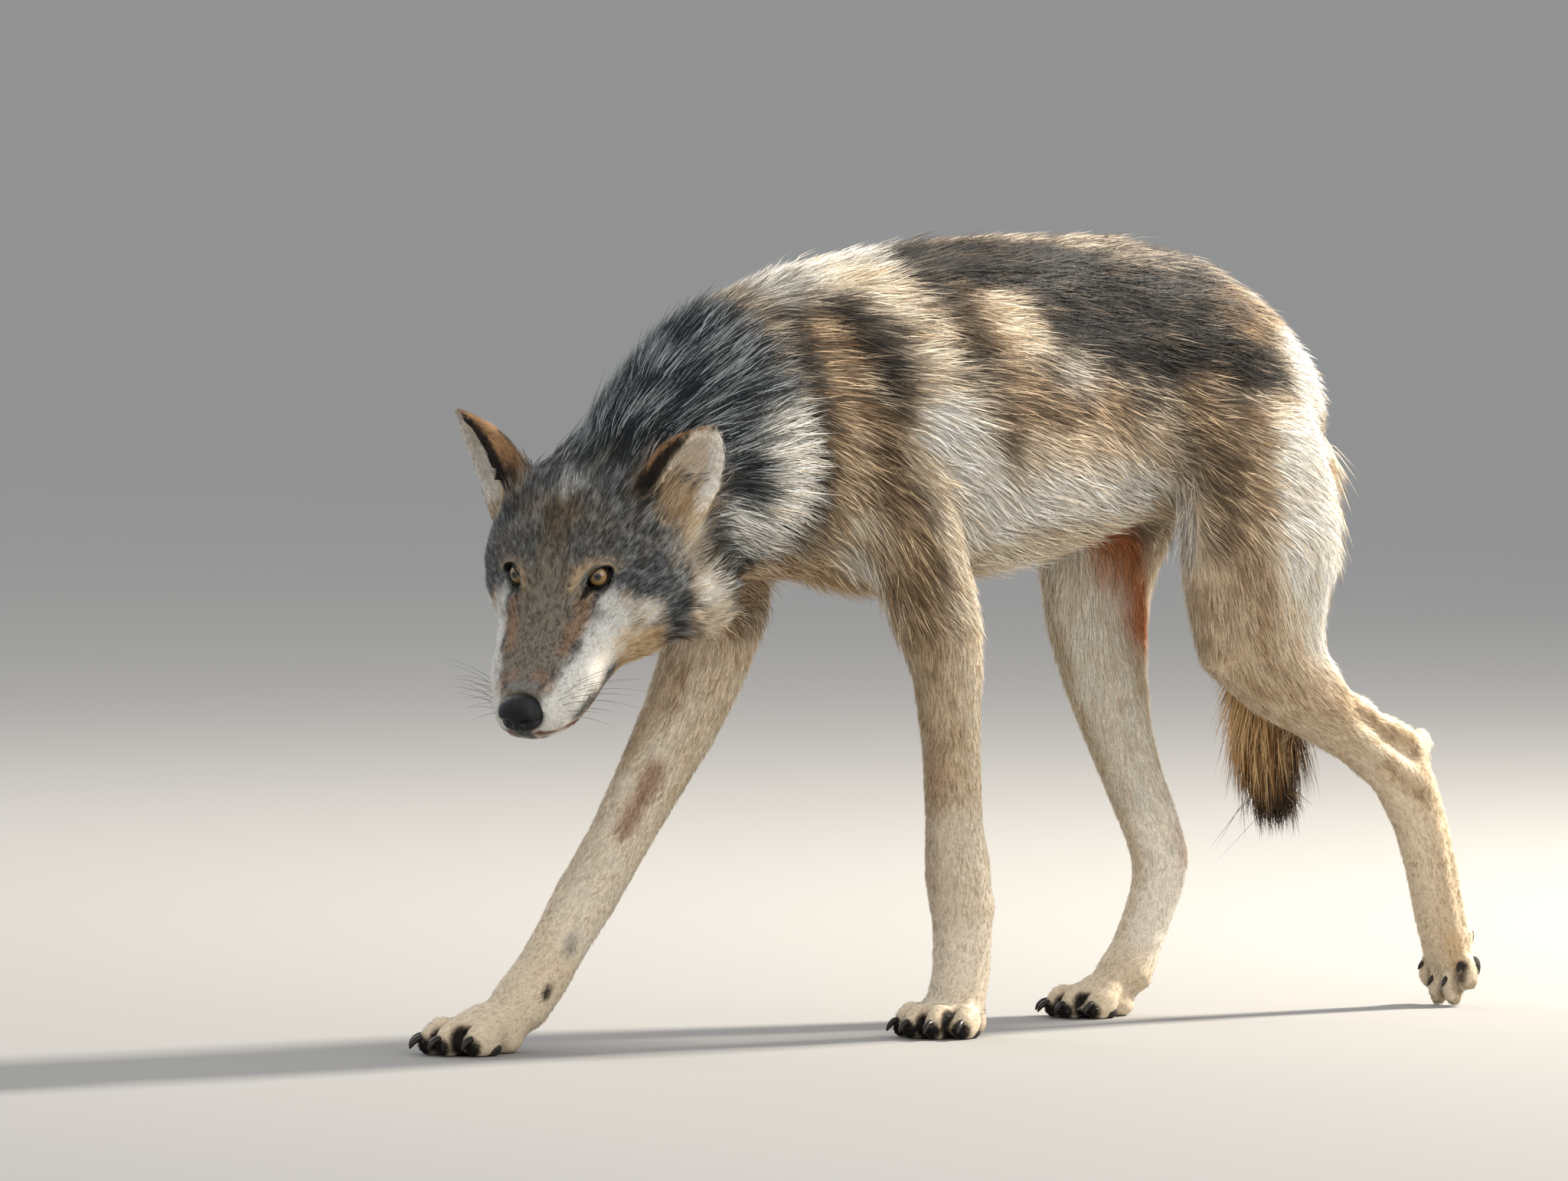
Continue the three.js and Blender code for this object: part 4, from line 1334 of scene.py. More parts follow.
    def survey(self, net: Net) -> None:
        """Keeps the region, the hair's flow, the lie of the coat and the colours at every point.

        Args:
            net: The skin's points.
        """
        points, normals = net.points(), net.normals()
        faces = [tuple(p.vertices) for p in net.mesh.polygons]
        self.tree = BVHTree.FromPolygons(points.tolist(), faces)
        node = self.nearest_nodes(points)
        region = REGION_NUMBERS[node]
        shares = net.spread(np.eye(len(Region))[region], 6)
        flow = net.spread(self.flow(points, normals, node), 14)
        lie = net.spread(self.lie(points, normals, node).stack(), 6)
        flow = flattened(flow, normals)
        seen = points + flow * (Lie(*lie.T).length * SHOWN_AT * MM)[:, None]
        hues = Markings().mix(points, normals, shares, seen)
        self.values = {
            "points": points,
            "normals": normals,
            "region": region[:, None].astype(float),
            "flow": flow,
            "lie": lie,
            "hues": hues,
        }


@dataclass(frozen=True)
class Lids:
    """The two lids of one eye: an almond opening, raised at its outer corner. Millimetres and degrees.

    The skin is drawn over the ball within a reach of its middle, and sinks behind it in the opening.
    """

    side: int
    half_length: float = 15.0
    half_height: float = 8.0
    slant: float = 34.0
    thickness: float = 1.5
    reach: float = 30.0
    sink: float = 5.0

    @property
    def forward(self) -> Array:
        """The way the opening faces."""
        return gaze(self.side)

    @property
    def lengthwise(self) -> Array:
        """From the inner corner to the outer one.

        Returns:
            A direction of the head's frame.
        """
        look = self.forward
        out = unit(np.array([0.0, self.side, 0.0]) - look * (self.side * look[1]))
        angle = math.radians(-self.side * self.slant)
        return out * math.cos(angle) + np.cross(look, out) * math.sin(angle)

    @property
    def upright(self) -> Array:
        """Across the opening, towards the brow."""
        way = np.cross(self.forward, self.lengthwise)
        return way if way[2] > 0 else -way

    def measure(self, local: Array) -> tuple[Array, Array, Array]:
        """How far points of the head's frame lie along, across and in front of the eyeball's middle."""
        q = local - eye_centre(self.side)
        return q @ self.lengthwise, q @ self.upright, q @ self.forward

    def place(self, along: Array, over: Array, front: Array) -> Array:
        """The points of the head's frame that have these measures."""
        lengthwise = eye_centre(self.side) + along[:, None] * self.lengthwise
        return lengthwise + over[:, None] * self.upright + front[:, None] * self.forward

    def edge(self, along: Array) -> tuple[Array, Array]:
        """Height of the upper and lower lid edges at distances from the middle.

        Args:
            along: The distances.

        Returns:
            Both heights.
        """
        t = np.clip(along / self.half_length, -1.0, 1.0)
        upper = self.half_height * (1 - np.abs(t) ** 2.0) * (1.0 + 0.10 * t)
        lower = -self.half_height * 0.92 * (1 - np.abs(t) ** 2.2) * (1.0 - 0.05 * t)
        return upper, lower

    def liner(self, local: Array) -> Array:
        """How much each point of the head's frame belongs to the black rim and the inner corner's wedge.

        Args:
            local: Points of the head's frame.

        Returns:
            A weight from 0 to 1 for each point.
        """
        along, over, front = self.measure(local)
        centre = np.where(along < 0, -0.8, 0.0)
        ring = np.hypot(along / (self.half_length + 0.6), (over - centre) / (self.half_height + 0.5))
        rim = ramp(1.13, 1.0, ring)
        share = np.clip((along + self.half_length) / -16.0, 0.0, 1.0)
        off_line = np.abs(over + 2.2 * share) / (3.6 - 2.4 * share)
        wedge = ramp(1.3, 0.8, off_line) * (along < -8) * (along > -30) * ramp(1.0, 0.75, share)
        return np.maximum(rim, wedge) * (front > -4) * (local[:, 1] * self.side > 0)

    def inside(self, along: Array, over: Array) -> Array:
        """Which points lie in the opening."""
        upper, lower = self.edge(along)
        return (np.abs(along) < self.half_length) & (over < upper) & (over > lower)


# ---- Coat ----

ROOT_DEPTH = 0.0012  # how far a tuft's root lies under the skin, in metres
MAP_PATCH = 0.0011  # half the width of one tuft on the map, whose side is 1
CLUMP_SIZE = 11  # one tuft in this many draws its neighbours' tips together
OWN_LUCK = 0.62  # share of chance, and of the flecks, in whether a tuft is light or dark
FLECK_LUCK = 0.38


@dataclass
class Coat:
    """The hair of one part of the body: closed, tapering tufts that lie over one another along the skin.

    Attributes:
        name: The piece's name.
        slot: The record's material slot.
        regions: Parts of the body that it covers.
        budget: How many triangles it may have.
        rings: Cross sections before the tip: 1 for a straight spike, 2 for a bowed lock.
        seed: Start of its random numbers.
        half: The only side of the body that it covers, or 0 for both.
        longer: Factor on the length of its tufts.
        tipped: Share of its tufts with a dark tip.
        speckle: How much the tufts differ in brightness.
        clumped: How much tufts that lean together share their colour, up to 0.62.
        grain: Size of light and dark flecks, in metres.
        blur: How softly light and dark tufts differ.
    """

    name: str
    slot: str
    regions: tuple[Region, ...]
    budget: int
    rings: int
    seed: int
    half: int = 0
    longer: float = 1.0
    tipped: float = 0.0
    speckle: float = 0.24
    clumped: float = 0.22
    grain: float = 0.012
    blur: float = 0.2

    def roots(
        self, skin: Skin, corners: Array, areas: Array, rng: np.random.Generator
    ) -> tuple[Array, Array]:
        """Chooses the roots.

        Args:
            skin: The surveyed skin.
            corners: Three point numbers for each of its triangles.
            areas: The triangles' areas.
            rng: Source of chance.

        Returns:
            Triangle numbers, and three weights that place a root in its triangle.
        """
        region = skin.values["region"][corners[:, 0], 0].astype(int)
        wanted = np.isin(region, [r.value for r in self.regions])
        if self.half:
            places = skin.values["points"][corners].mean(axis=1)
            across = HEAD.local(places)[:, 1] if Region.HEAD in self.regions else places[:, 1]
            wanted &= across * self.half > 0
        lie = Lie(*skin.values["lie"][corners].mean(axis=1).T)
        number = lie.cover / np.maximum(lie.length * lie.width, 1e-3)
        expected = np.where(wanted, areas * number * self.free(skin, corners), 0.0)
        total = np.cumsum(expected)
        count = self.budget // (6 * self.rings - 2)
        picks = np.searchsorted(total, (np.arange(count) + rng.random(count)) * total[-1] / count)
        picks = np.minimum(picks, len(corners) - 1)
        a, b = rng.random(count), rng.random(count)
        flip = a + b > 1
        a, b = np.where(flip, 1 - a, a), np.where(flip, 1 - b, b)
        return picks, np.stack([1 - a - b, a, b], axis=1)

    @staticmethod
    def free(skin: Skin, corners: Array) -> Array:
        """1 where hair grows, 0 on the lids' edges, the nose, the lips and the soles.

        Args:
            skin: The surveyed skin.
            corners: Three point numbers for each of its triangles.

        Returns:
            One number for each triangle.
        """
        points = skin.values["points"][corners].mean(axis=1)
        local = HEAD.local(points)
        out = np.ones(len(points))
        for side in (LEFT, RIGHT):
            along, over, front = Lids(side).measure(local)
            out[(front > 0) & (np.hypot(along / 17.5, over / 10.5) < 1.0)] = 0.0
        nose = np.linalg.norm((local - [-139, 0, -43]) / [17, 24, 20], axis=1)
        out[nose < 1.0] = 0.0
        normals = skin.values["normals"][corners[:, 0]]
        out[(points[:, 2] < 0.008) & (normals[:, 2] < -0.5)] = 0.0
        return out

    def build(self, skin: Skin, corners: Array, areas: Array, unwrap: Array) -> Object:
        """Makes the piece.

        Args:
            skin: The surveyed skin.
            corners: Three point numbers for each of its triangles.
            areas: The triangles' areas.
            unwrap: The skin's map at the three corners of each triangle.

        Returns:
            The coat piece with its colours and its map.
        """
        rng = np.random.default_rng(self.seed)
        tri, weights = self.roots(skin, corners, areas, rng)
        count = len(tri)

        def at(name: str) -> Array:
            """A surveyed value at every root."""
            return np.einsum("nk,nkj->nj", weights, skin.values[name][corners[tri]])

        root, normal = at("points"), unit(at("normals"))
        flow, lie, hues = at("flow"), Lie(*at("lie").T), at("hues")
        uv = np.einsum("nk,nkj->nj", weights, unwrap[tri])
        flow = flattened(flow, normal)
        sway = rng.normal(0, 0.14, count) + (mottle(root, 0.03, 11) - 0.5) * 0.5
        flow = tilted(flow, np.cross(normal, flow), sway)
        beside = np.cross(normal, flow)
        length = lie.length * MM * self.longer * np.clip(rng.normal(1.0, 0.2, count), 0.5, 1.6)
        width = lie.width * MM * rng.uniform(0.7, 1.25, count)
        lift = np.radians(lie.lift * np.clip(rng.normal(1.0, 0.3, count), 0.3, 1.9))
        clump, tip_pull = self.clumps(root, rng)
        start, end = tilted(flow, normal, lift), tilted(flow, normal, lift * TIP_LIFT)

        def spine(s: float) -> Array:
            """The middle of every tuft at a share of its length."""
            return root + length[:, None] * (start * s + (end - start) * (0.5 * s * s))

        goal = spine(1.0)[clump]
        pull = tip_pull * (goal - spine(1.0))
        near, facing = skin.nearest(spine(1.0) + pull)
        lost = (np.sum(facing * normal, axis=1) < 0.0) & (Region.EAR not in self.regions)
        length = np.where(lost, 0.15 * length, length)
        pull[lost] = 0.0
        wanted = length * np.sin(lift * MEAN_LIFT)
        height = np.where(lost, 0.7 * wanted, np.sum((spine(1.0) + pull - near) * facing, axis=1))
        pull += facing * (np.clip(height, 0.7 * wanted, 1.1 * wanted) - height)[:, None]
        spans = ((0.0,), (0.0, 0.45))[self.rings - 1]
        girth = ((1.0,), (0.75, 1.0))[self.rings - 1]
        verts, normals_out, level = [], [], []
        for s, g in zip(spans, girth):
            middle = spine(s) + pull * s**1.5 - normal * (ROOT_DEPTH if s == 0 else 0.0)
            half = (width * g * 0.5)[:, None]
            verts += [middle - beside * half, middle + normal * half * 0.8, middle + beside * half]
            flanks = [unit(normal * 0.75 + beside * tilt) for tilt in (-0.6, 0.6)]
            normals_out += [flanks[0], unit(normal + flow * 0.1), flanks[1]]
            level += [s] * 3
        verts.append(spine(1.0) + pull)
        normals_out.append(unit(normal + flow * 0.2))
        level.append(1.0)
        per = len(verts)
        points = np.stack(verts, axis=1).reshape(-1, 3)
        points[:, 2] = np.maximum(points[:, 2], 0.0002)
        shade = np.stack(normals_out, axis=1).reshape(-1, 3)
        faces = self.pattern()
        index = (np.arange(count)[:, None, None] * per + faces[None]).reshape(-1, 3)
        colours = self.paint(hues, root, clump, np.array(level), rng)
        spot = {0.0: -1.0, 0.45: 0.0, 1.0: 1.0}
        offset = np.array([[(k % 3 - 1) if k < per - 1 else 0, spot[level[k]]] for k in range(per)])
        maps = (uv[:, None] + offset[None] * MAP_PATCH).reshape(-1, 2)
        return self.mesh(points, shade, index, colours, maps)

    def clumps(self, root: Array, rng: np.random.Generator) -> tuple[Array, Array]:
        """Which tuft each one leans towards, and how much.

        Args:
            root: Where the tufts grow.
            rng: Source of chance.

        Returns:
            Tuft numbers, and shares from 0 to 0.9.
        """
        leaders = np.arange(0, len(root), CLUMP_SIZE)
        tree = KDTree(len(leaders))
        for k, index in enumerate(leaders.tolist()):
            tree.insert(root[index], k)
        tree.balance()
        own = np.array([leaders[tree.find(co)[1]] for co in root.tolist()])
        return own, np.clip(rng.normal(0.36, 0.2, len(root)), 0.0, 0.9)[:, None]

    def pattern(self) -> Array:
        """The faces of one closed tuft as point numbers.

        Returns:
            Three point numbers for each face.
        """
        faces = [(0, 1, 2)]
        for ring in range(self.rings - 1):
            for k in range(3):
                a, b = ring * 3 + k, ring * 3 + (k + 1) % 3
                faces += [(a, a + 3, b), (b, a + 3, b + 3)]
        last = (self.rings - 1) * 3
        faces += [(last + k, self.rings * 3, last + (k + 1) % 3) for k in range(3)]
        return np.array(faces)

    def paint(self, hues: Array, root: Array, clump: Array, level: Array, rng: np.random.Generator) -> Array:
        """Colours the tufts: painted shade at the root, then light or dark as it falls, some with dark tips
        and the others lightened at the tip as a painted highlight.

        Args:
            hues: The mixture at every root.
            root: Where the tufts grow.
            clump: The tuft that each one leans towards.
            level: How far along a tuft each of its points is, from 0 to 1.
            rng: Source of chance.

        Returns:
            Red, green, blue and 1 for every point of every tuft.
        """
        count = len(root)
        luck = (OWN_LUCK - self.clumped) * rng.random(count) + self.clumped * rng.random(count)[clump]
        luck = luck + FLECK_LUCK * mottle(root, self.grain, 21)
        luck = np.clip((luck - 0.5) * 2.2 + 0.5, 0, 1)
        dark = ramp(-self.blur, self.blur, hues[:, 6] - luck)[:, None]
        own = hues[:, :3] + (hues[:, 3:6] - hues[:, :3]) * dark
        own *= rng.uniform(1 - self.speckle, 1 + self.speckle, count)[:, None]
        mean = mean_colour(hues)
        # dark tips are the hair's own colour; every other tip is lightened as a painted highlight
        tip = np.where(rng.random(count) < self.tipped, 0.3, 1.12)[:, None]
        out = np.empty((count, len(level), 4))
        for k, s in enumerate(level):
            # painted shade: each tuft darkens towards its root, for the shade deep in the coat
            depth = 0.45 + 0.55 * min(s / 0.45, 1.0)
            base = mean if s == 0.0 else own
            out[:, k, :3] = base * depth * (tip if s == 1.0 else 1.0)
        out[..., 3] = 1.0
        return np.clip(out, 0, 1).reshape(-1, 4)

    def mesh(self, points: Array, shade: Array, index: Array, colours: Array, maps: Array) -> Object:
        """Makes the piece of its arrays.

        Args:
            points: Every point, in metres.
            shade: The normal with which each point is shaded.
            index: Three point numbers for each triangle.
            colours: The colour of each point.
            maps: The place of each point on the map.

        Returns:
            The new object.
        """
        mesh = bpy.data.meshes.new(self.name)
        mesh.vertices.add(len(points))
        mesh.vertices.foreach_set("co", points.ravel())
        mesh.loops.add(index.size)
        mesh.loops.foreach_set("vertex_index", index.ravel().astype(np.int32))
        mesh.polygons.add(len(index))
        mesh.polygons.foreach_set("loop_start", np.arange(0, index.size, 3, dtype=np.int32))
        mesh.update(calc_edges=True)
        layer = mesh.color_attributes.new("coat", "FLOAT_COLOR", "POINT")
        layer.data.foreach_set("color", colours.ravel())
        chart = mesh.uv_layers.new(name="OFBake")
        chart.uv.foreach_set("vector", maps[index.ravel()].ravel())
        mesh.shade_smooth()
        mesh.normals_split_custom_set_from_vertices(shade)
        return linked(self.name, mesh)


@dataclass(frozen=True)
class Unwrap:
    """A flat map of the skin: each region is laid out from six sides, and the charts are packed in rows."""

    margin: float = 0.004
    width: float = 1.9

    def charts(self, points: Array, faces: Array, part: Array) -> Array:
        """The map at the corners of each face.

        Args:
            points: The skin's points.
            faces: Three point numbers for each triangle.
            part: A number for the part of the body of each triangle.

        Returns:
            Two numbers from 0 to 1 for each corner.
        """
        corners = points[faces]
        normal = np.cross(corners[:, 1] - corners[:, 0], corners[:, 2] - corners[:, 0])
        axis = np.argmax(np.abs(normal), axis=1)
        sign = np.take_along_axis(normal, axis[:, None], axis=1)[:, 0] > 0
        chart = part * 6 + axis * 2 + sign
        flat = np.empty((len(faces), 3, 2))
        for k in range(3):
            across, along = [i for i in range(3) if i != k]
            own = axis == k
            flat[own] = corners[own][:, :, [across, along]]
        pieces = []
        for number in np.unique(chart):
            own = np.flatnonzero(chart == number)
            flat[own] -= flat[own].min(axis=(0, 1))
            size = flat[own].max(axis=(0, 1))
            if size[1] > size[0]:
                flat[own] = flat[own][:, :, ::-1]
                size = size[::-1]
            pieces.append((own, size))
        pieces.sort(key=lambda item: -item[1][1])
        return flat / self.pack(flat, pieces)

    def pack(self, flat: Array, pieces: list) -> float:
        """Moves each chart to its place in its row, and returns the side of the square that holds them.

        Args:
            flat: The corners, which are moved.
            pieces: For each chart its triangles and its size.

        Returns:
            The side, in metres.
        """
        x = y = row = self.margin
        for own, size in pieces:
            if x + size[0] > self.width:
                x, y = self.margin, y + row + self.margin
                row = 0.0
            flat[own] += [x, y]
            x += size[0] + self.margin
            row = max(row, size[1])
        return max(self.width, y + row) + self.margin


# ---- Eyes, nose, claws and whiskers ----


def finished(name: str, bm: BMesh) -> Object:
    """Makes a smooth object of a mesh, with its faces pointing outwards.

    Args:
        name: The piece's name.
        bm: Its working mesh, which is freed.

    Returns:
        The new object.
    """
    bmesh.ops.recalc_face_normals(bm, faces=bm.faces)
    mesh = written(name, bm)
    mesh.shade_smooth()
    return linked(name, mesh)


def run_through(knots: object, count: int) -> Array:
    """A smooth line through a few points, with a given number of points.

    Args:
        knots: The few points.
        count: How many points the line gets.

    Returns:
        The line's points.
    """
    knots = np.asarray(knots, dtype=float)
    ends = np.vstack([2 * knots[0] - knots[1], knots, 2 * knots[-1] - knots[-2]])
    place = np.linspace(0, len(knots) - 1 - 1e-9, count)
    k = place.astype(int)
    f = (place - k)[:, None]
    a, b, c, d = (ends[k + i] for i in range(4))
    return b + 0.5 * f * (c - a + f * (2 * a - 5 * b + 4 * c - d + f * (3 * (b - c) + d - a)))


def tubes(name: str, runs: list[tuple[Array, Array]], roundness: int, closed: bool = False) -> Object:
    """Round tubes along lines.

    Args:
        name: The piece's name.
        runs: For each tube its points and its radii, in metres.
        roundness: How finely it is rounded, 0 for four sides.
        closed: Whether each line ends where it began.

    Returns:
        One mesh object with all the tubes.
    """
    data = bpy.data.curves.new(name, "CURVE")
    data.dimensions = "3D"
    data.bevel_depth = 1.0
    data.bevel_resolution = roundness
    data.use_fill_caps = True
    for points, radii in runs:
        spline = data.splines.new("POLY")
        spline.points.add(len(points) - 1)
        spline.points.foreach_set("co", np.column_stack([points, np.ones(len(points))]).ravel())
        spline.points.foreach_set("radius", np.asarray(radii, dtype=float))
        spline.use_cyclic_u = closed
    line = linked(name + "_line", data)
    mesh = bpy.data.meshes.new_from_object(line.evaluated_get(bpy.context.evaluated_depsgraph_get()))
    bpy.data.objects.remove(line)
    bm = bmesh.new()
    bm.from_mesh(mesh)
    bpy.data.meshes.remove(mesh)
    bmesh.ops.remove_doubles(bm, verts=bm.verts, dist=1e-6)
    return finished(name, bm)


@dataclass(frozen=True)
class Eye:
    """One eyeball with a clear front that bulges a little. Degrees from the muzzle, and millimetres."""

    side: int
    slant_out: float
    slant_up: float = 35.0
    bulge: float = 0.7

    @property
    def name(self) -> str:
        """Which eye it is."""
        return "left" if self.side == LEFT else "right"

    def build(self) -> Object:
        """The ball, with the angle from its front kept at each point for the iris.

        Returns:
            The new object.
        """
        bm = bmesh.new()
        bmesh.ops.create_uvsphere(bm, u_segments=72, v_segments=48, radius=EYE_RADIUS)
        layer = bm.verts.layers.float.new("ring")
        look = gaze(self.side, self.slant_out, self.slant_up)
        across = unit(np.cross(UP, look))
        axes = np.stack([across, np.cross(look, across), look], axis=1)
        for vert in bm.verts:
            angle = vert.co.angle(Vector((0, 0, 1)))
            vert[layer] = angle / math.pi * 2
            vert.co *= 1 + self.bulge / EYE_RADIUS * math.exp(-((angle / 0.62) ** 4))
            vert.co = HEAD.world(eye_centre(self.side) + axes @ np.array(vert.co))
        return finished(f"{self.name}_eyeball", bm)

    def rims(self) -> Object:
        """The dark bare edge of both lids, thicker at the inner corner.

        Returns:
            The new object.
        """
        lid = Lids(self.side)
        turn = np.linspace(0, 2 * math.pi, 72, endpoint=False)
        along = lid.half_length * np.cos(turn)
        upper, lower = lid.edge(along)
        over = np.where(np.sin(turn) > 0, upper, lower)
        rho = np.hypot(along, over)
        front = np.sqrt(np.maximum((EYE_RADIUS + 0.9) ** 2 - rho**2, 0.0)) - np.maximum(rho - 12.0, 0) * 0.6
        points = HEAD.world(lid.place(along, over, front))
        radii = (0.85 + 1.0 * ramp(-0.4, -1.0, np.cos(turn))) * MM
        return tubes(f"{self.name}_lid_rims", [(points, radii)], 2, True)


@dataclass(frozen=True)
class Nose:
    """The nose leather, with nostrils, the slits beside them and the groove down its middle."""

    middle: Triple = (-139.0, 0.0, -43.0)
    radii: Triple = (15.0, 22.5, 18.5)
    pitch: float = 24.0

    def build(self) -> Object:
        """The closed pad.

        Returns:
            The new object.
        """
        bm = bmesh.new()
        bmesh.ops.create_icosphere(bm, subdivisions=5, radius=1.0)
        turn = turned(0.0, self.pitch)
        q = np.array([v.co[:] for v in bm.verts])
        q = np.sign(q) * np.abs(q) ** 0.92
        q = q * self.radii @ turn.T + np.array(self.middle)
        mirrored = outward(q)
        inward = unit(np.array(self.middle) - q)
        push = 9.0 * hump(mirrored, (-152, 10.5, -45), (9, 5.2, 4.4))
        push += 5.0 * hump(mirrored, (-147, 18.5, -46.5), (8, 4.5, 2.6))
        push += 1.8 * hump(q, (-153, 0, -53), (8, 1.6, 9))
        push -= 1.5 * hump(mirrored, (-150, 14, -37), (9, 6, 4))
        q = HEAD.world(q + inward * push[:, None])
        for vert, co in zip(bm.verts, q):
            vert.co = co
        return finished("nose_pad", bm)


@dataclass(frozen=True)
class Paw:
    """The claws and the leather pads of one paw, in millimetres of its own frame: toes towards -X.

    Each toe has its name, its place forwards and across, and its turn in degrees. The sheath is how far the
    claws are drawn back into the hair, and the lift how far they are tipped, in degrees.
    """

    name: str
    at: Triple
    yaw: float
    pitch: float
    scale: float
    lift: float = 0.0
    knuckle: float = 7.5
    sheath: float = 0.0
    toes: tuple[tuple[str, float, float, float], ...] = (
        ("inner", -24.0, -31.0, 15.0),
        ("mid_inner", -42.0, -11.5, 4.0),
        ("mid_outer", -42.0, 11.5, -4.0),
        ("outer", -24.0, 31.0, -15.0),
    )

    @property
    def frame(self) -> LocalFrame:
        """The paw's own frame."""
        return LocalFrame(placed(self.at), turned(self.yaw, self.pitch), MM * self.scale)

    def darkness(self, points: Array) -> Array:
        """How far the hair is painted black: painted shade in the gaps between the toes, and darker round the
        roots of the claws.

        Args:
            points: Places, in metres.

        Returns:
            A weight from 0 to 1 for each point.
        """
        q = self.frame.local(points)
        dark = np.zeros(len(points))
        # painted shade in the gaps between the toes
        for x, y in self.gaps:
            dark = np.maximum(dark, hump(q, (x - 14.0, y, 14.0), (19, 6.0, 20)))
        for _, x, y, splay in self.toes:
            front = (x - 21.0, y - splay * 0.35, 9.0)
            dark = np.maximum(dark, hump(q, front, (13, 11, 11)))
        return ramp(0.25, 0.6, dark) * (0.35 if self.sheath else 1.0)

    @property
    def gaps(self) -> list[tuple[float, float]]:
        """Where each pair of toes meets."""
        return [(max(a[1], b[1]), (a[2] + b[2]) / 2) for a, b in zip(self.toes, self.toes[1:])]

    def arch(self, points: Array) -> Array:
        """How far each point of the skin moves out, in millimetres, so that every toe rises to a knuckle.

        Args:
            points: Places, in metres.

        Returns:
            One distance for each point.
        """
        q = self.frame.local(points)
        push = np.zeros(len(points))
        for _, x, y, _ in self.toes:
            push += self.knuckle * hump(q, (x - 2.0, y, 24.0), (19, 9, 14))
        for x, y in self.gaps:
            push -= 4.5 * hump(q, (x - 12.0, y, 20.0), (22, 4.0, 22))
        return push

    def claw(self, toe: tuple[str, float, float, float]) -> Object:
        """One curved, blunt claw.

        Args:
            toe: One row of the paw's toes.

        Returns:
            The new object.
        """
        name, x, y, splay = toe
        line = run_through(((2, 0, 1.5), (-10, 0, 2.0), (-17, 0, -1), (-21.5, 0, -7)), 14)
        radii = np.interp(np.linspace(0, 1, 14), (0, 0.45, 0.8, 1), (3.9, 3.5, 2.4, 0.8)) * MM * self.scale
        line = line @ turned(0.0, self.lift).T + [-12 + self.sheath, 0, 0]
        line = line @ turned(splay, 0.0).T + [x, y, 15]
        points = self.frame.world(line)
        points[:, 2] = np.maximum(points[:, 2], radii + 0.0004)
        return tubes(f"{self.name}_claw_{name}_horn", [(points, radii)], 3)

    def pads(self) -> Object:
        """The toe pads and the broad pad behind them.

        Returns:
            The new object.
        """
        bm = bmesh.new()
        spots = [((x + 4, y, 7.5), (15, 9.5, 8)) for _, x, y, _ in self.toes] + [((16, 0, 8), (19, 23, 9))]
        for middle, radii in spots:
            ball = bmesh.ops.create_icosphere(bm, subdivisions=3, radius=1.0)["verts"]
            q = self.frame.world(np.array([v.co[:] for v in ball]) * radii + middle)
            q[:, 2] = np.maximum(q[:, 2], 0.0)
            for vert, co in zip(ball, q):
                vert.co = co
        return finished(f"{self.name}_pads", bm)


PAWS = (
    Paw("left_fore", (160, -62, -1), 18.0, 0.0, 1.0),
    Paw("right_fore", (-330, 52, -1), -2.0, 0.0, 1.04),
    Paw("left_hind", (820, -55, 51), 4.0, -76.0, 0.84, 70.0, 3.0, 21.0),
    Paw("right_hind", (444, 50, -1), 0.0, 0.0, 0.92),
)


def whiskers(skin: Skin) -> Object:
    """Stiff hairs in four rows on each side of the muzzle.

    Args:
        skin: The surveyed skin.

    Returns:
        One piece with all of them.
    """
    rng = np.random.default_rng(31)
    runs = []
    for side in (LEFT, RIGHT):
        for row in range(4):
            for k in range(4 - row // 3):
                start = (-121.0 + 8.5 * k + 2 * row, side * (30.0 + 2.2 * k), -44.0 - 5.5 * row)
                near, facing = skin.nearest(HEAD.world([start]))
                out = side * (0.62 + 0.1 * rng.random())
                way = HEAD.turn((0.75, out, 0.05 - 0.16 * row + 0.1 * rng.random()))
                way = unit(0.75 * unit(way) + 0.5 * facing[0])
                reach = (34 + 7 * k + rng.uniform(0, 12)) * MM
                s = np.linspace(0, 1, 7)[:, None]
                line = near[0] - facing[0] * 0.001 + way * reach * s - UP * 0.18 * reach * s**2
                runs.append((line, np.linspace(0.00026, 0.00005, 7)))
    return tubes("whiskers", runs, 0)


# ---- Finishes ----


def new_material(name: str) -> tuple[Material, NodeTree, Node]:
    """A new material with its node tree and its shader.

    Args:
        name: The material's name.

    Returns:
        The material, its tree and its shader.
    """
    material = bpy.data.materials.new(name)
    material.use_nodes = True
    return material, material.node_tree, material.node_tree.nodes["Principled BSDF"]


def fill(node: Node, values: dict[str, object]) -> Node:
    """A node with some of its inputs set by name.

    Args:
        node: The node.
        values: A value for each name.

    Returns:
        The same node.
    """
    for name, value in values.items():
        node.inputs[name].default_value = value
    return node


def add(tree: NodeTree, kind: str, values: dict[str, object] | None = None) -> Node:
    """A new shader node with some of its inputs set."""
    return fill(tree.nodes.new("ShaderNode" + kind), values or {})


def wire(tree: NodeTree, *wires: tuple) -> None:
    """Joins nodes: each wire names a node and its output, then a node and its input."""
    for source, outlet, target, inlet in wires:
        tree.links.new(source.outputs[outlet], target.inputs[inlet])


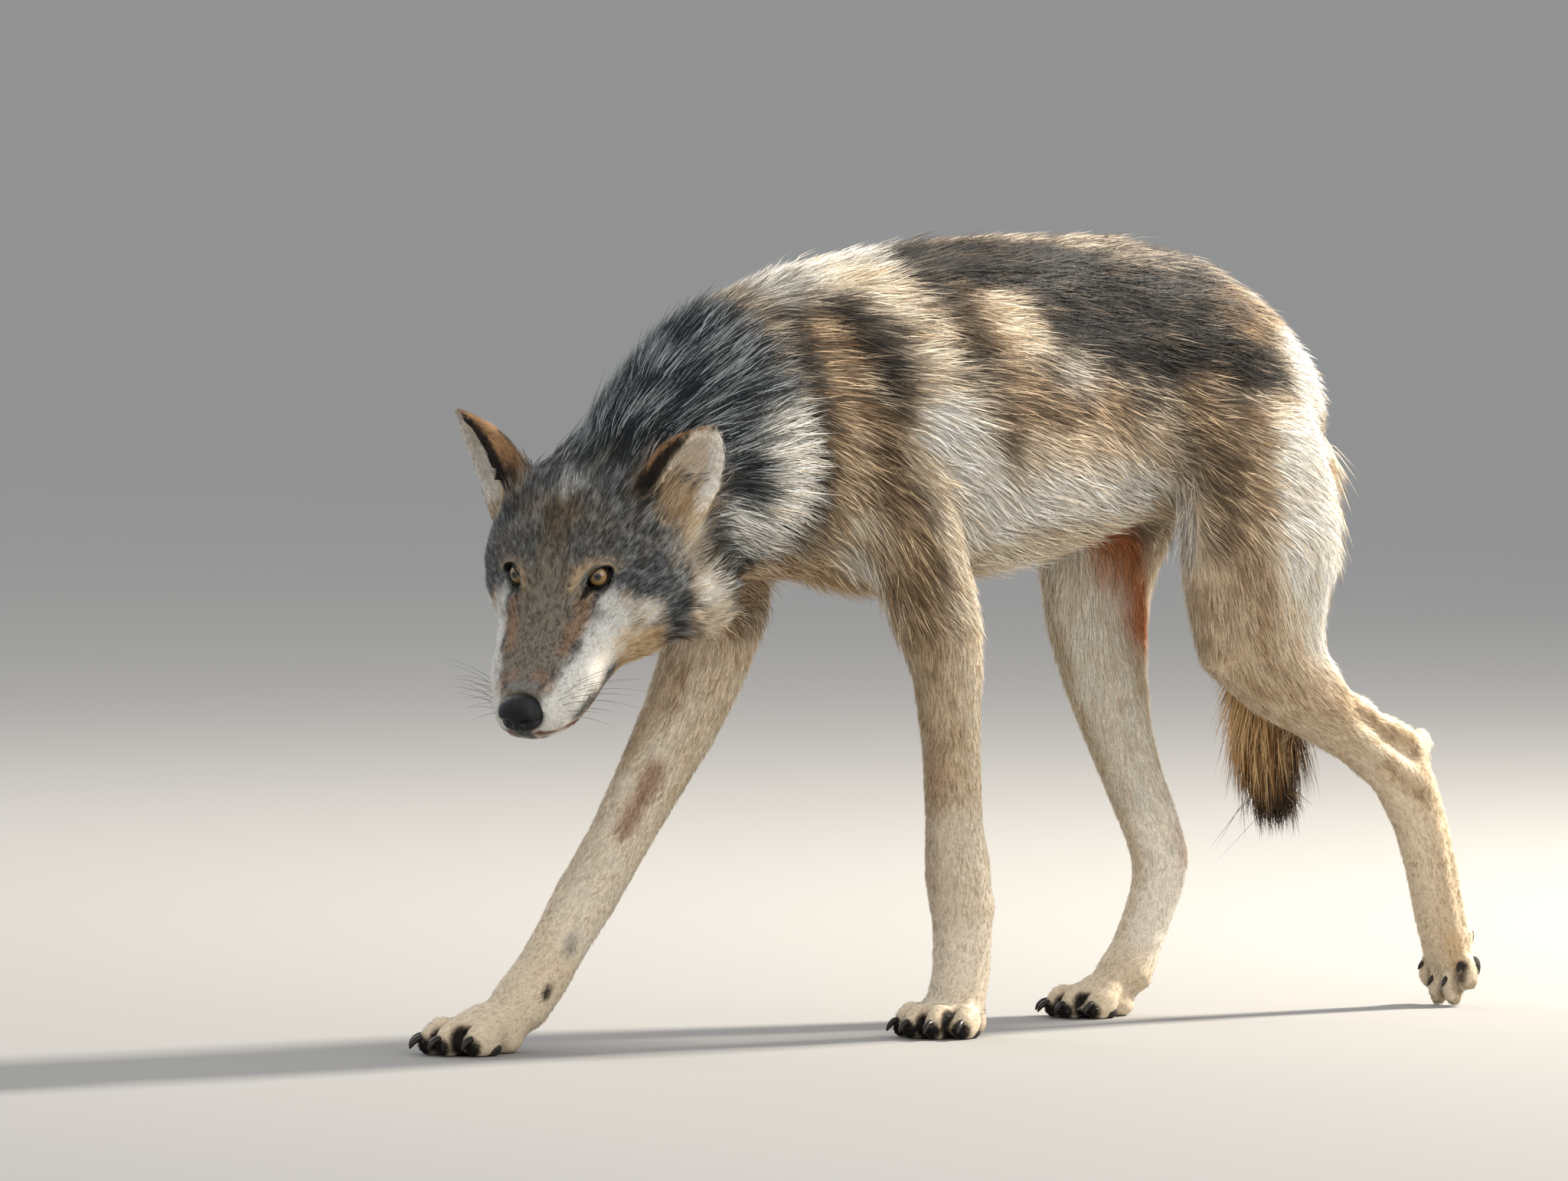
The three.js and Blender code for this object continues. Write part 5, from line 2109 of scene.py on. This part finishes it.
def hair_group() -> NodeTree:
    """The shared colour of skin and coat: painted colours with a fine break-up.

    Returns:
        The group.
    """
    if "hair_colour" in bpy.data.node_groups:
        return bpy.data.node_groups["hair_colour"]
    group = bpy.data.node_groups.new("hair_colour", "ShaderNodeTree")
    group.interface.new_socket("Roughness", in_out="INPUT", socket_type="NodeSocketFloat")
    group.interface.new_socket("Colour", in_out="OUTPUT", socket_type="NodeSocketColor")
    group.interface.new_socket("Roughness", in_out="OUTPUT", socket_type="NodeSocketFloat")
    inlet, outlet = group.nodes.new("NodeGroupInput"), group.nodes.new("NodeGroupOutput")
    paint, place = add(group, "Attribute"), add(group, "TexCoord")
    paint.attribute_name = "coat"
    noise = add(group, "TexNoise", {"Scale": 420.0, "Detail": 2.0})
    spread = add(group, "MapRange", {"From Min": 0.3, "From Max": 0.7, "To Min": 0.84, "To Max": 1.14})
    scale, rough = add(group, "VectorMath"), add(group, "Math")
    scale.operation = "SCALE"
    rough.operation = "MULTIPLY"
    wire(
        group,
        (place, "Object", noise, "Vector"),
        (noise, "Fac", spread, "Value"),
        (paint, "Color", scale, 0),
        (spread, "Result", scale, "Scale"),
        (scale, "Vector", outlet, "Colour"),
        (inlet, "Roughness", rough, 0),
        (spread, "Result", rough, 1),
        (rough, "Value", outlet, "Roughness"),
    )
    return group


@dataclass(frozen=True)
class FurFinish:
    """Hair in one of the record's slots, with its mean roughness and the strength of its soft gloss."""

    name: str
    roughness: float
    sheen: float

    def make(self) -> Material:
        """The material: the coat's own colours, finely broken up.

        Returns:
            The new material.
        """
        material, tree, shader = new_material(self.name)
        group = tree.nodes.new("ShaderNodeGroup")
        group.node_tree = hair_group()
        fill(group, {"Roughness": self.roughness})
        wire(tree, (group, "Colour", shader, "Base Color"), (group, "Roughness", shader, "Roughness"))
        fill(shader, {"Specular IOR Level": 0.16, "Sheen Weight": self.sheen, "Sheen Roughness": 0.4})
        return material


def noise_ramp(tree: NodeTree, scale: float, stops: list[tuple[float, str]]) -> Node:
    """A colour ramp over fine noise in Object coordinates.

    Args:
        tree: Where the nodes go.
        scale: How fine the noise is.
        stops: Places from 0 to 1, and colours.

    Returns:
        The ramp's node.
    """
    place, noise = add(tree, "TexCoord"), add(tree, "TexNoise", {"Scale": scale, "Detail": 3.0})
    colours = colour_ramp(tree, stops)
    wire(tree, (place, "Object", noise, "Vector"), (noise, "Fac", colours, "Fac"))
    return colours


def colour_ramp(tree: NodeTree, stops: list[tuple[float, str]]) -> Node:
    """A ramp through colours at places from 0 to 1.

    Args:
        tree: Where the node goes.
        stops: Places from 0 to 1, and colours.

    Returns:
        The ramp's node.
    """
    node = add(tree, "ValToRGB")
    marks = node.color_ramp.elements
    while len(marks) < len(stops):
        marks.new(0.5)
    for mark, (place, code) in zip(marks, stops):
        mark.position = place
        mark.color = (*tone(code), 1.0)
    return node


@dataclass(frozen=True)
class LeatherFinish:
    """Bare skin or horn, with so many pebbles along a metre and seams of a depth in metres."""

    name: str
    dark: str
    pale: str
    pebble: float
    depth: float
    roughness: float

    def make(self) -> Material:
        """The material: noise for its colour, small cells for its relief.

        Returns:
            The new material.
        """
        material, tree, shader = new_material(self.name)
        colour = noise_ramp(tree, 160.0, [(0.3, self.dark), (0.7, self.pale)])
        place, cells = add(tree, "TexCoord"), add(tree, "TexVoronoi", {"Scale": self.pebble})
        bump = add(tree, "Bump", {"Distance": self.depth})
        bump.invert = True
        wire(
            tree,
            (colour, "Color", shader, "Base Color"),
            (place, "Object", cells, "Vector"),
            (cells, "Distance", bump, "Height"),
            (bump, "Normal", shader, "Normal"),
        )
        fill(shader, {"Roughness": self.roughness, "Specular IOR Level": 0.28})
        return material


@dataclass(frozen=True)
class EyeFinish:
    """A wet eyeball: pupil, amber iris with fine rays, dark outer ring and brown white."""

    name: str = "amber_eye"

    def make(self) -> Material:
        """The material, coloured by the angle from the front of the ball.

        Returns:
            The new material.
        """
        material, tree, shader = new_material(self.name)
        ring = add(tree, "Attribute")
        ring.attribute_name = "ring"
        flecks = noise_ramp(tree, 900.0, [(0.3, "8e8e8e"), (0.7, "ffffff")])
        stops = [
            (0.0, "050505"), (0.125, "070605"), (0.155, "4e3c1e"), (0.24, "8a6c3a"), (0.37, "9e7c45"),
            (0.46, "705528"), (0.505, "2a1c10"), (0.57, "33241a"), (0.8, "2a1a14"),
        ]
        colours = colour_ramp(tree, stops)
        blend = add(tree, "Mix", {"Factor": 0.45})
        blend.data_type = "RGBA"
        blend.blend_type = "MULTIPLY"
        wire(
            tree,
            (ring, "Fac", colours, "Fac"),
            (colours, "Color", blend, "A"),
            (flecks, "Color", blend, "B"),
            (blend, "Result", shader, "Base Color"),
        )
        fill(shader, {"Roughness": 0.08, "Coat Weight": 0.6, "Coat Roughness": 0.03})
        return material


# ---- Camera, light and floor ----


@dataclass
class Studio:
    """A pale floor, soft light and the camera.

    Attributes:
        aim: The point in the middle of the view, in metres.
        azimuth: Turn of the camera from the wolf's left side, in degrees, negative towards its head.
        elevation: Height of the camera above the level, degrees.
        distance: From the aim to the camera, metres.
        lens: Focal length for a film of the width that follows, both in millimetres.
        lit: The point that the lamps face.
    """

    aim: Triple = (ORIGIN[0], ORIGIN[1], 0.433)
    azimuth: float = -40.0
    elevation: float = 3.2
    distance: float = 25.0
    lens: float = 597.66
    film: float = 36.0
    lit: Triple = (0.0, 0.0, 0.4)

    def camera(self) -> None:
        """Places the camera."""
        a, e = math.radians(self.azimuth), math.radians(self.elevation)
        back = Vector((math.sin(a) * math.cos(e), -math.cos(a) * math.cos(e), math.sin(e)))
        data = bpy.data.cameras.new("camera")
        data.lens = self.lens
        data.sensor_width = self.film
        data.clip_start, data.clip_end = 1.0, 300.0
        obj = linked("camera", data)
        obj.location = Vector(self.aim) + back * self.distance
        obj.rotation_mode = "QUATERNION"
        obj.rotation_quaternion = (-back).to_track_quat("-Z", "Y")
        bpy.context.scene.camera = obj

    def lamp(self, name: str, at: tuple, size: float, power: float, colour: tuple) -> None:
        """One soft lamp that faces the wolf.

        Args:
            name: The lamp's name.
            at: Where it hangs, in metres.
            size: The side of its square, in metres.
            power: In watts.
            colour: As linear light.
        """
        data = bpy.data.lights.new(name, "AREA")
        data.size = size
        data.energy = power
        data.color = colour
        obj = linked(name, data)
        obj.location = at
        obj.rotation_mode = "QUATERNION"
        obj.rotation_quaternion = (Vector(at) - Vector(self.lit)).to_track_quat("Z", "Y")

    def light(self) -> None:
        """The lamps and the even light of the room."""
        world = bpy.data.worlds.new("room")
        world.use_nodes = True
        fill(world.node_tree.nodes["Background"], {"Color": (0.93, 0.96, 1.0, 1.0), "Strength": 0.93})
        bpy.context.scene.world = world
        bpy.context.scene.view_settings.view_transform = "Standard"
        self.lamp("key", (3.8, -0.45, 2.9), 0.5, 640.0, (1.0, 0.93, 0.82))
        self.lamp("fill", (-1.0, -4.4, 2.0), 3.0, 75.0, (1.0, 0.95, 0.88))
        self.lamp("rear", (0.5, 3.8, 2.6), 2.5, 50.0, (1.0, 0.95, 0.88))

    def floor(self) -> Object:
        """The pale floor.

        Returns:
            The new object.
        """
        bm = bmesh.new()
        bmesh.ops.create_grid(bm, x_segments=1, y_segments=1, size=90.0)
        obj = linked("floor", written("floor", bm))
        material, _, shader = new_material("floor")
        fill(shader, {"Base Color": (0.27, 0.262, 0.25, 1.0), "Roughness": 0.9})
        obj.data.materials.append(material)
        return obj


FURS = (
    FurFinish("grey_fur", 0.66, 0.04),
    FurFinish("dark_fur", 0.62, 0.04),
    FurFinish("face_fur", 0.68, 0.03),
    FurFinish("pale_fur", 0.7, 0.06),
    FurFinish("tail_fur", 0.66, 0.04),
)
SKIN_SHADE = 0.8  # painted shade: the skin is painted darker than its hair, for the shade under the coat
FACE = {"clumped": 0.42, "grain": 0.004, "blur": 0.15}  # the hair of the face is flecked more finely
COATS = (
    Coat("coat_head_left", "face_fur", (Region.HEAD,), 165000, 1, 11, LEFT, **FACE),
    Coat("coat_head_right", "face_fur", (Region.HEAD,), 125000, 1, 12, RIGHT, **FACE),
    Coat("coat_ears", "face_fur", (Region.EAR,), 70000, 1, 13),
    Coat("coat_neck", "dark_fur", (Region.NECK,), 180000, 2, 14, tipped=0.3),
    Coat("coat_trunk_left", "grey_fur", (Region.TRUNK,), 190000, 1, 15, LEFT, 0.9, tipped=0.2),
    Coat("coat_trunk_right", "grey_fur", (Region.TRUNK,), 140000, 1, 16, RIGHT, 0.9, tipped=0.2),
    Coat("coat_guard_left", "grey_fur", (Region.TRUNK,), 90000, 2, 21, LEFT, 1.1, tipped=0.35),
    Coat("coat_guard_right", "grey_fur", (Region.TRUNK,), 50000, 2, 22, RIGHT, 1.1, tipped=0.35),
    Coat("coat_forelegs", "pale_fur", (Region.FORELEG,), 100000, 1, 17, speckle=0.1),
    Coat("coat_hindlegs", "pale_fur", (Region.HINDLEG,), 130000, 1, 18, speckle=0.1),
    Coat("coat_paws", "pale_fur", (Region.PAW,), 110000, 1, 19, speckle=0.1),
    Coat("coat_tail", "tail_fur", (Region.TAIL,), 90000, 2, 20, tipped=0.3),
)


def settle(piece: Object, slot: str, finish: Material, *nodes: str) -> None:
    """Fixes one piece to the body.

    Args:
        piece: The piece.
        slot: Its material slot in the record; not used.
        finish: Its material.
        *nodes: The solids that it stands for.
    """
    piece.data.materials.append(finish)
    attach(piece, "root")
    if nodes:
        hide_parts(*nodes)
    LOG.info("%s: %d points", piece.name, len(piece.data.vertices))


def dress_details(skin: Skin) -> None:
    """Adds eyes, lid rims, nose, claws, pads and whiskers.

    Args:
        skin: The surveyed skin.
    """
    eye = EyeFinish().make()
    rim = LeatherFinish("lid_skin", "0b0909", "1d1614", 1500.0, 0.0002, 0.4).make()
    leather = LeatherFinish("nose_leather", "08090b", "15171b", 620.0, 0.0005, 0.36).make()
    sole = LeatherFinish("pad_leather", "1a1614", "2f2824", 500.0, 0.0006, 0.7).make()
    horn = LeatherFinish("claw_horn", "15110f", "2d2621", 260.0, 0.0002, 0.4).make()
    hair = LeatherFinish("whisker_hair", "2a2623", "8a857c", 300.0, 0.0001, 0.5).make()
    for ball in (Eye(LEFT, 25.0), Eye(RIGHT, 19.0)):
        settle(ball.build(), "eye", eye, f"{ball.name}_eye")
        settle(ball.rims(), "nose_leather", rim)
    settle(Nose().build(), "nose_leather", leather, "nose")
    for paw in PAWS:
        for toe in paw.toes:
            settle(paw.claw(toe), "claw_horn", horn, f"{paw.name}_claw_{toe[0]}")
        settle(paw.pads(), "nose_leather", sole)
    settle(whiskers(skin), "face_fur", hair)


def dress_coat(skin: Skin, mesh: Mesh, furs: dict[str, Material]) -> None:
    """Paints the skin and adds the coat.

    Args:
        skin: The surveyed skin.
        mesh: Its mesh.
        furs: The finish of each slot of hair.
    """
    mesh.calc_loop_triangles()
    LOG.info("skin: %d triangles", len(mesh.loop_triangles))
    layer = mesh.color_attributes.new("coat", "FLOAT_COLOR", "POINT")
    # painted shade: the skin under the coat is darker than its hair
    mean = mean_colour(skin.values["hues"]) * SKIN_SHADE
    layer.data.foreach_set("color", np.concatenate([mean, np.ones((len(mean), 1))], axis=1).ravel())
    corners = read(mesh.loop_triangles, "vertices", 3, np.int64)
    points = skin.values["points"]
    sides = points[corners]
    areas = np.linalg.norm(np.cross(sides[:, 1] - sides[:, 0], sides[:, 2] - sides[:, 0]), axis=1) / 2
    body_part = skin.values["region"][corners[:, 0], 0].astype(int) * 2 + (points[corners[:, 0], 1] > 0)
    unwrap = Unwrap().charts(points, corners, body_part)
    for coat in COATS:
        piece = coat.build(skin, corners, areas, unwrap)
        piece.data.materials.append(furs[coat.slot])
        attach(piece, "root")
        LOG.info("%s: %d triangles", coat.name, len(piece.data.polygons))


def main() -> None:
    """Builds the wolf piece by piece."""
    logging.basicConfig(level=logging.INFO, format="%(name)s: %(message)s")
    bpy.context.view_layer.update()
    studio = Studio()
    studio.camera()
    studio.light()
    studio.floor()
    skin = Skin()
    hide = skin.build()
    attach(hide, "root")
    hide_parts(*REGION_OF)
    furs = {fur.name: fur.make() for fur in FURS}
    hide.data.materials.append(furs["grey_fur"])
    dress_coat(skin, hide.data, furs)
    dress_details(skin)


if __name__ == "__main__":
    main()
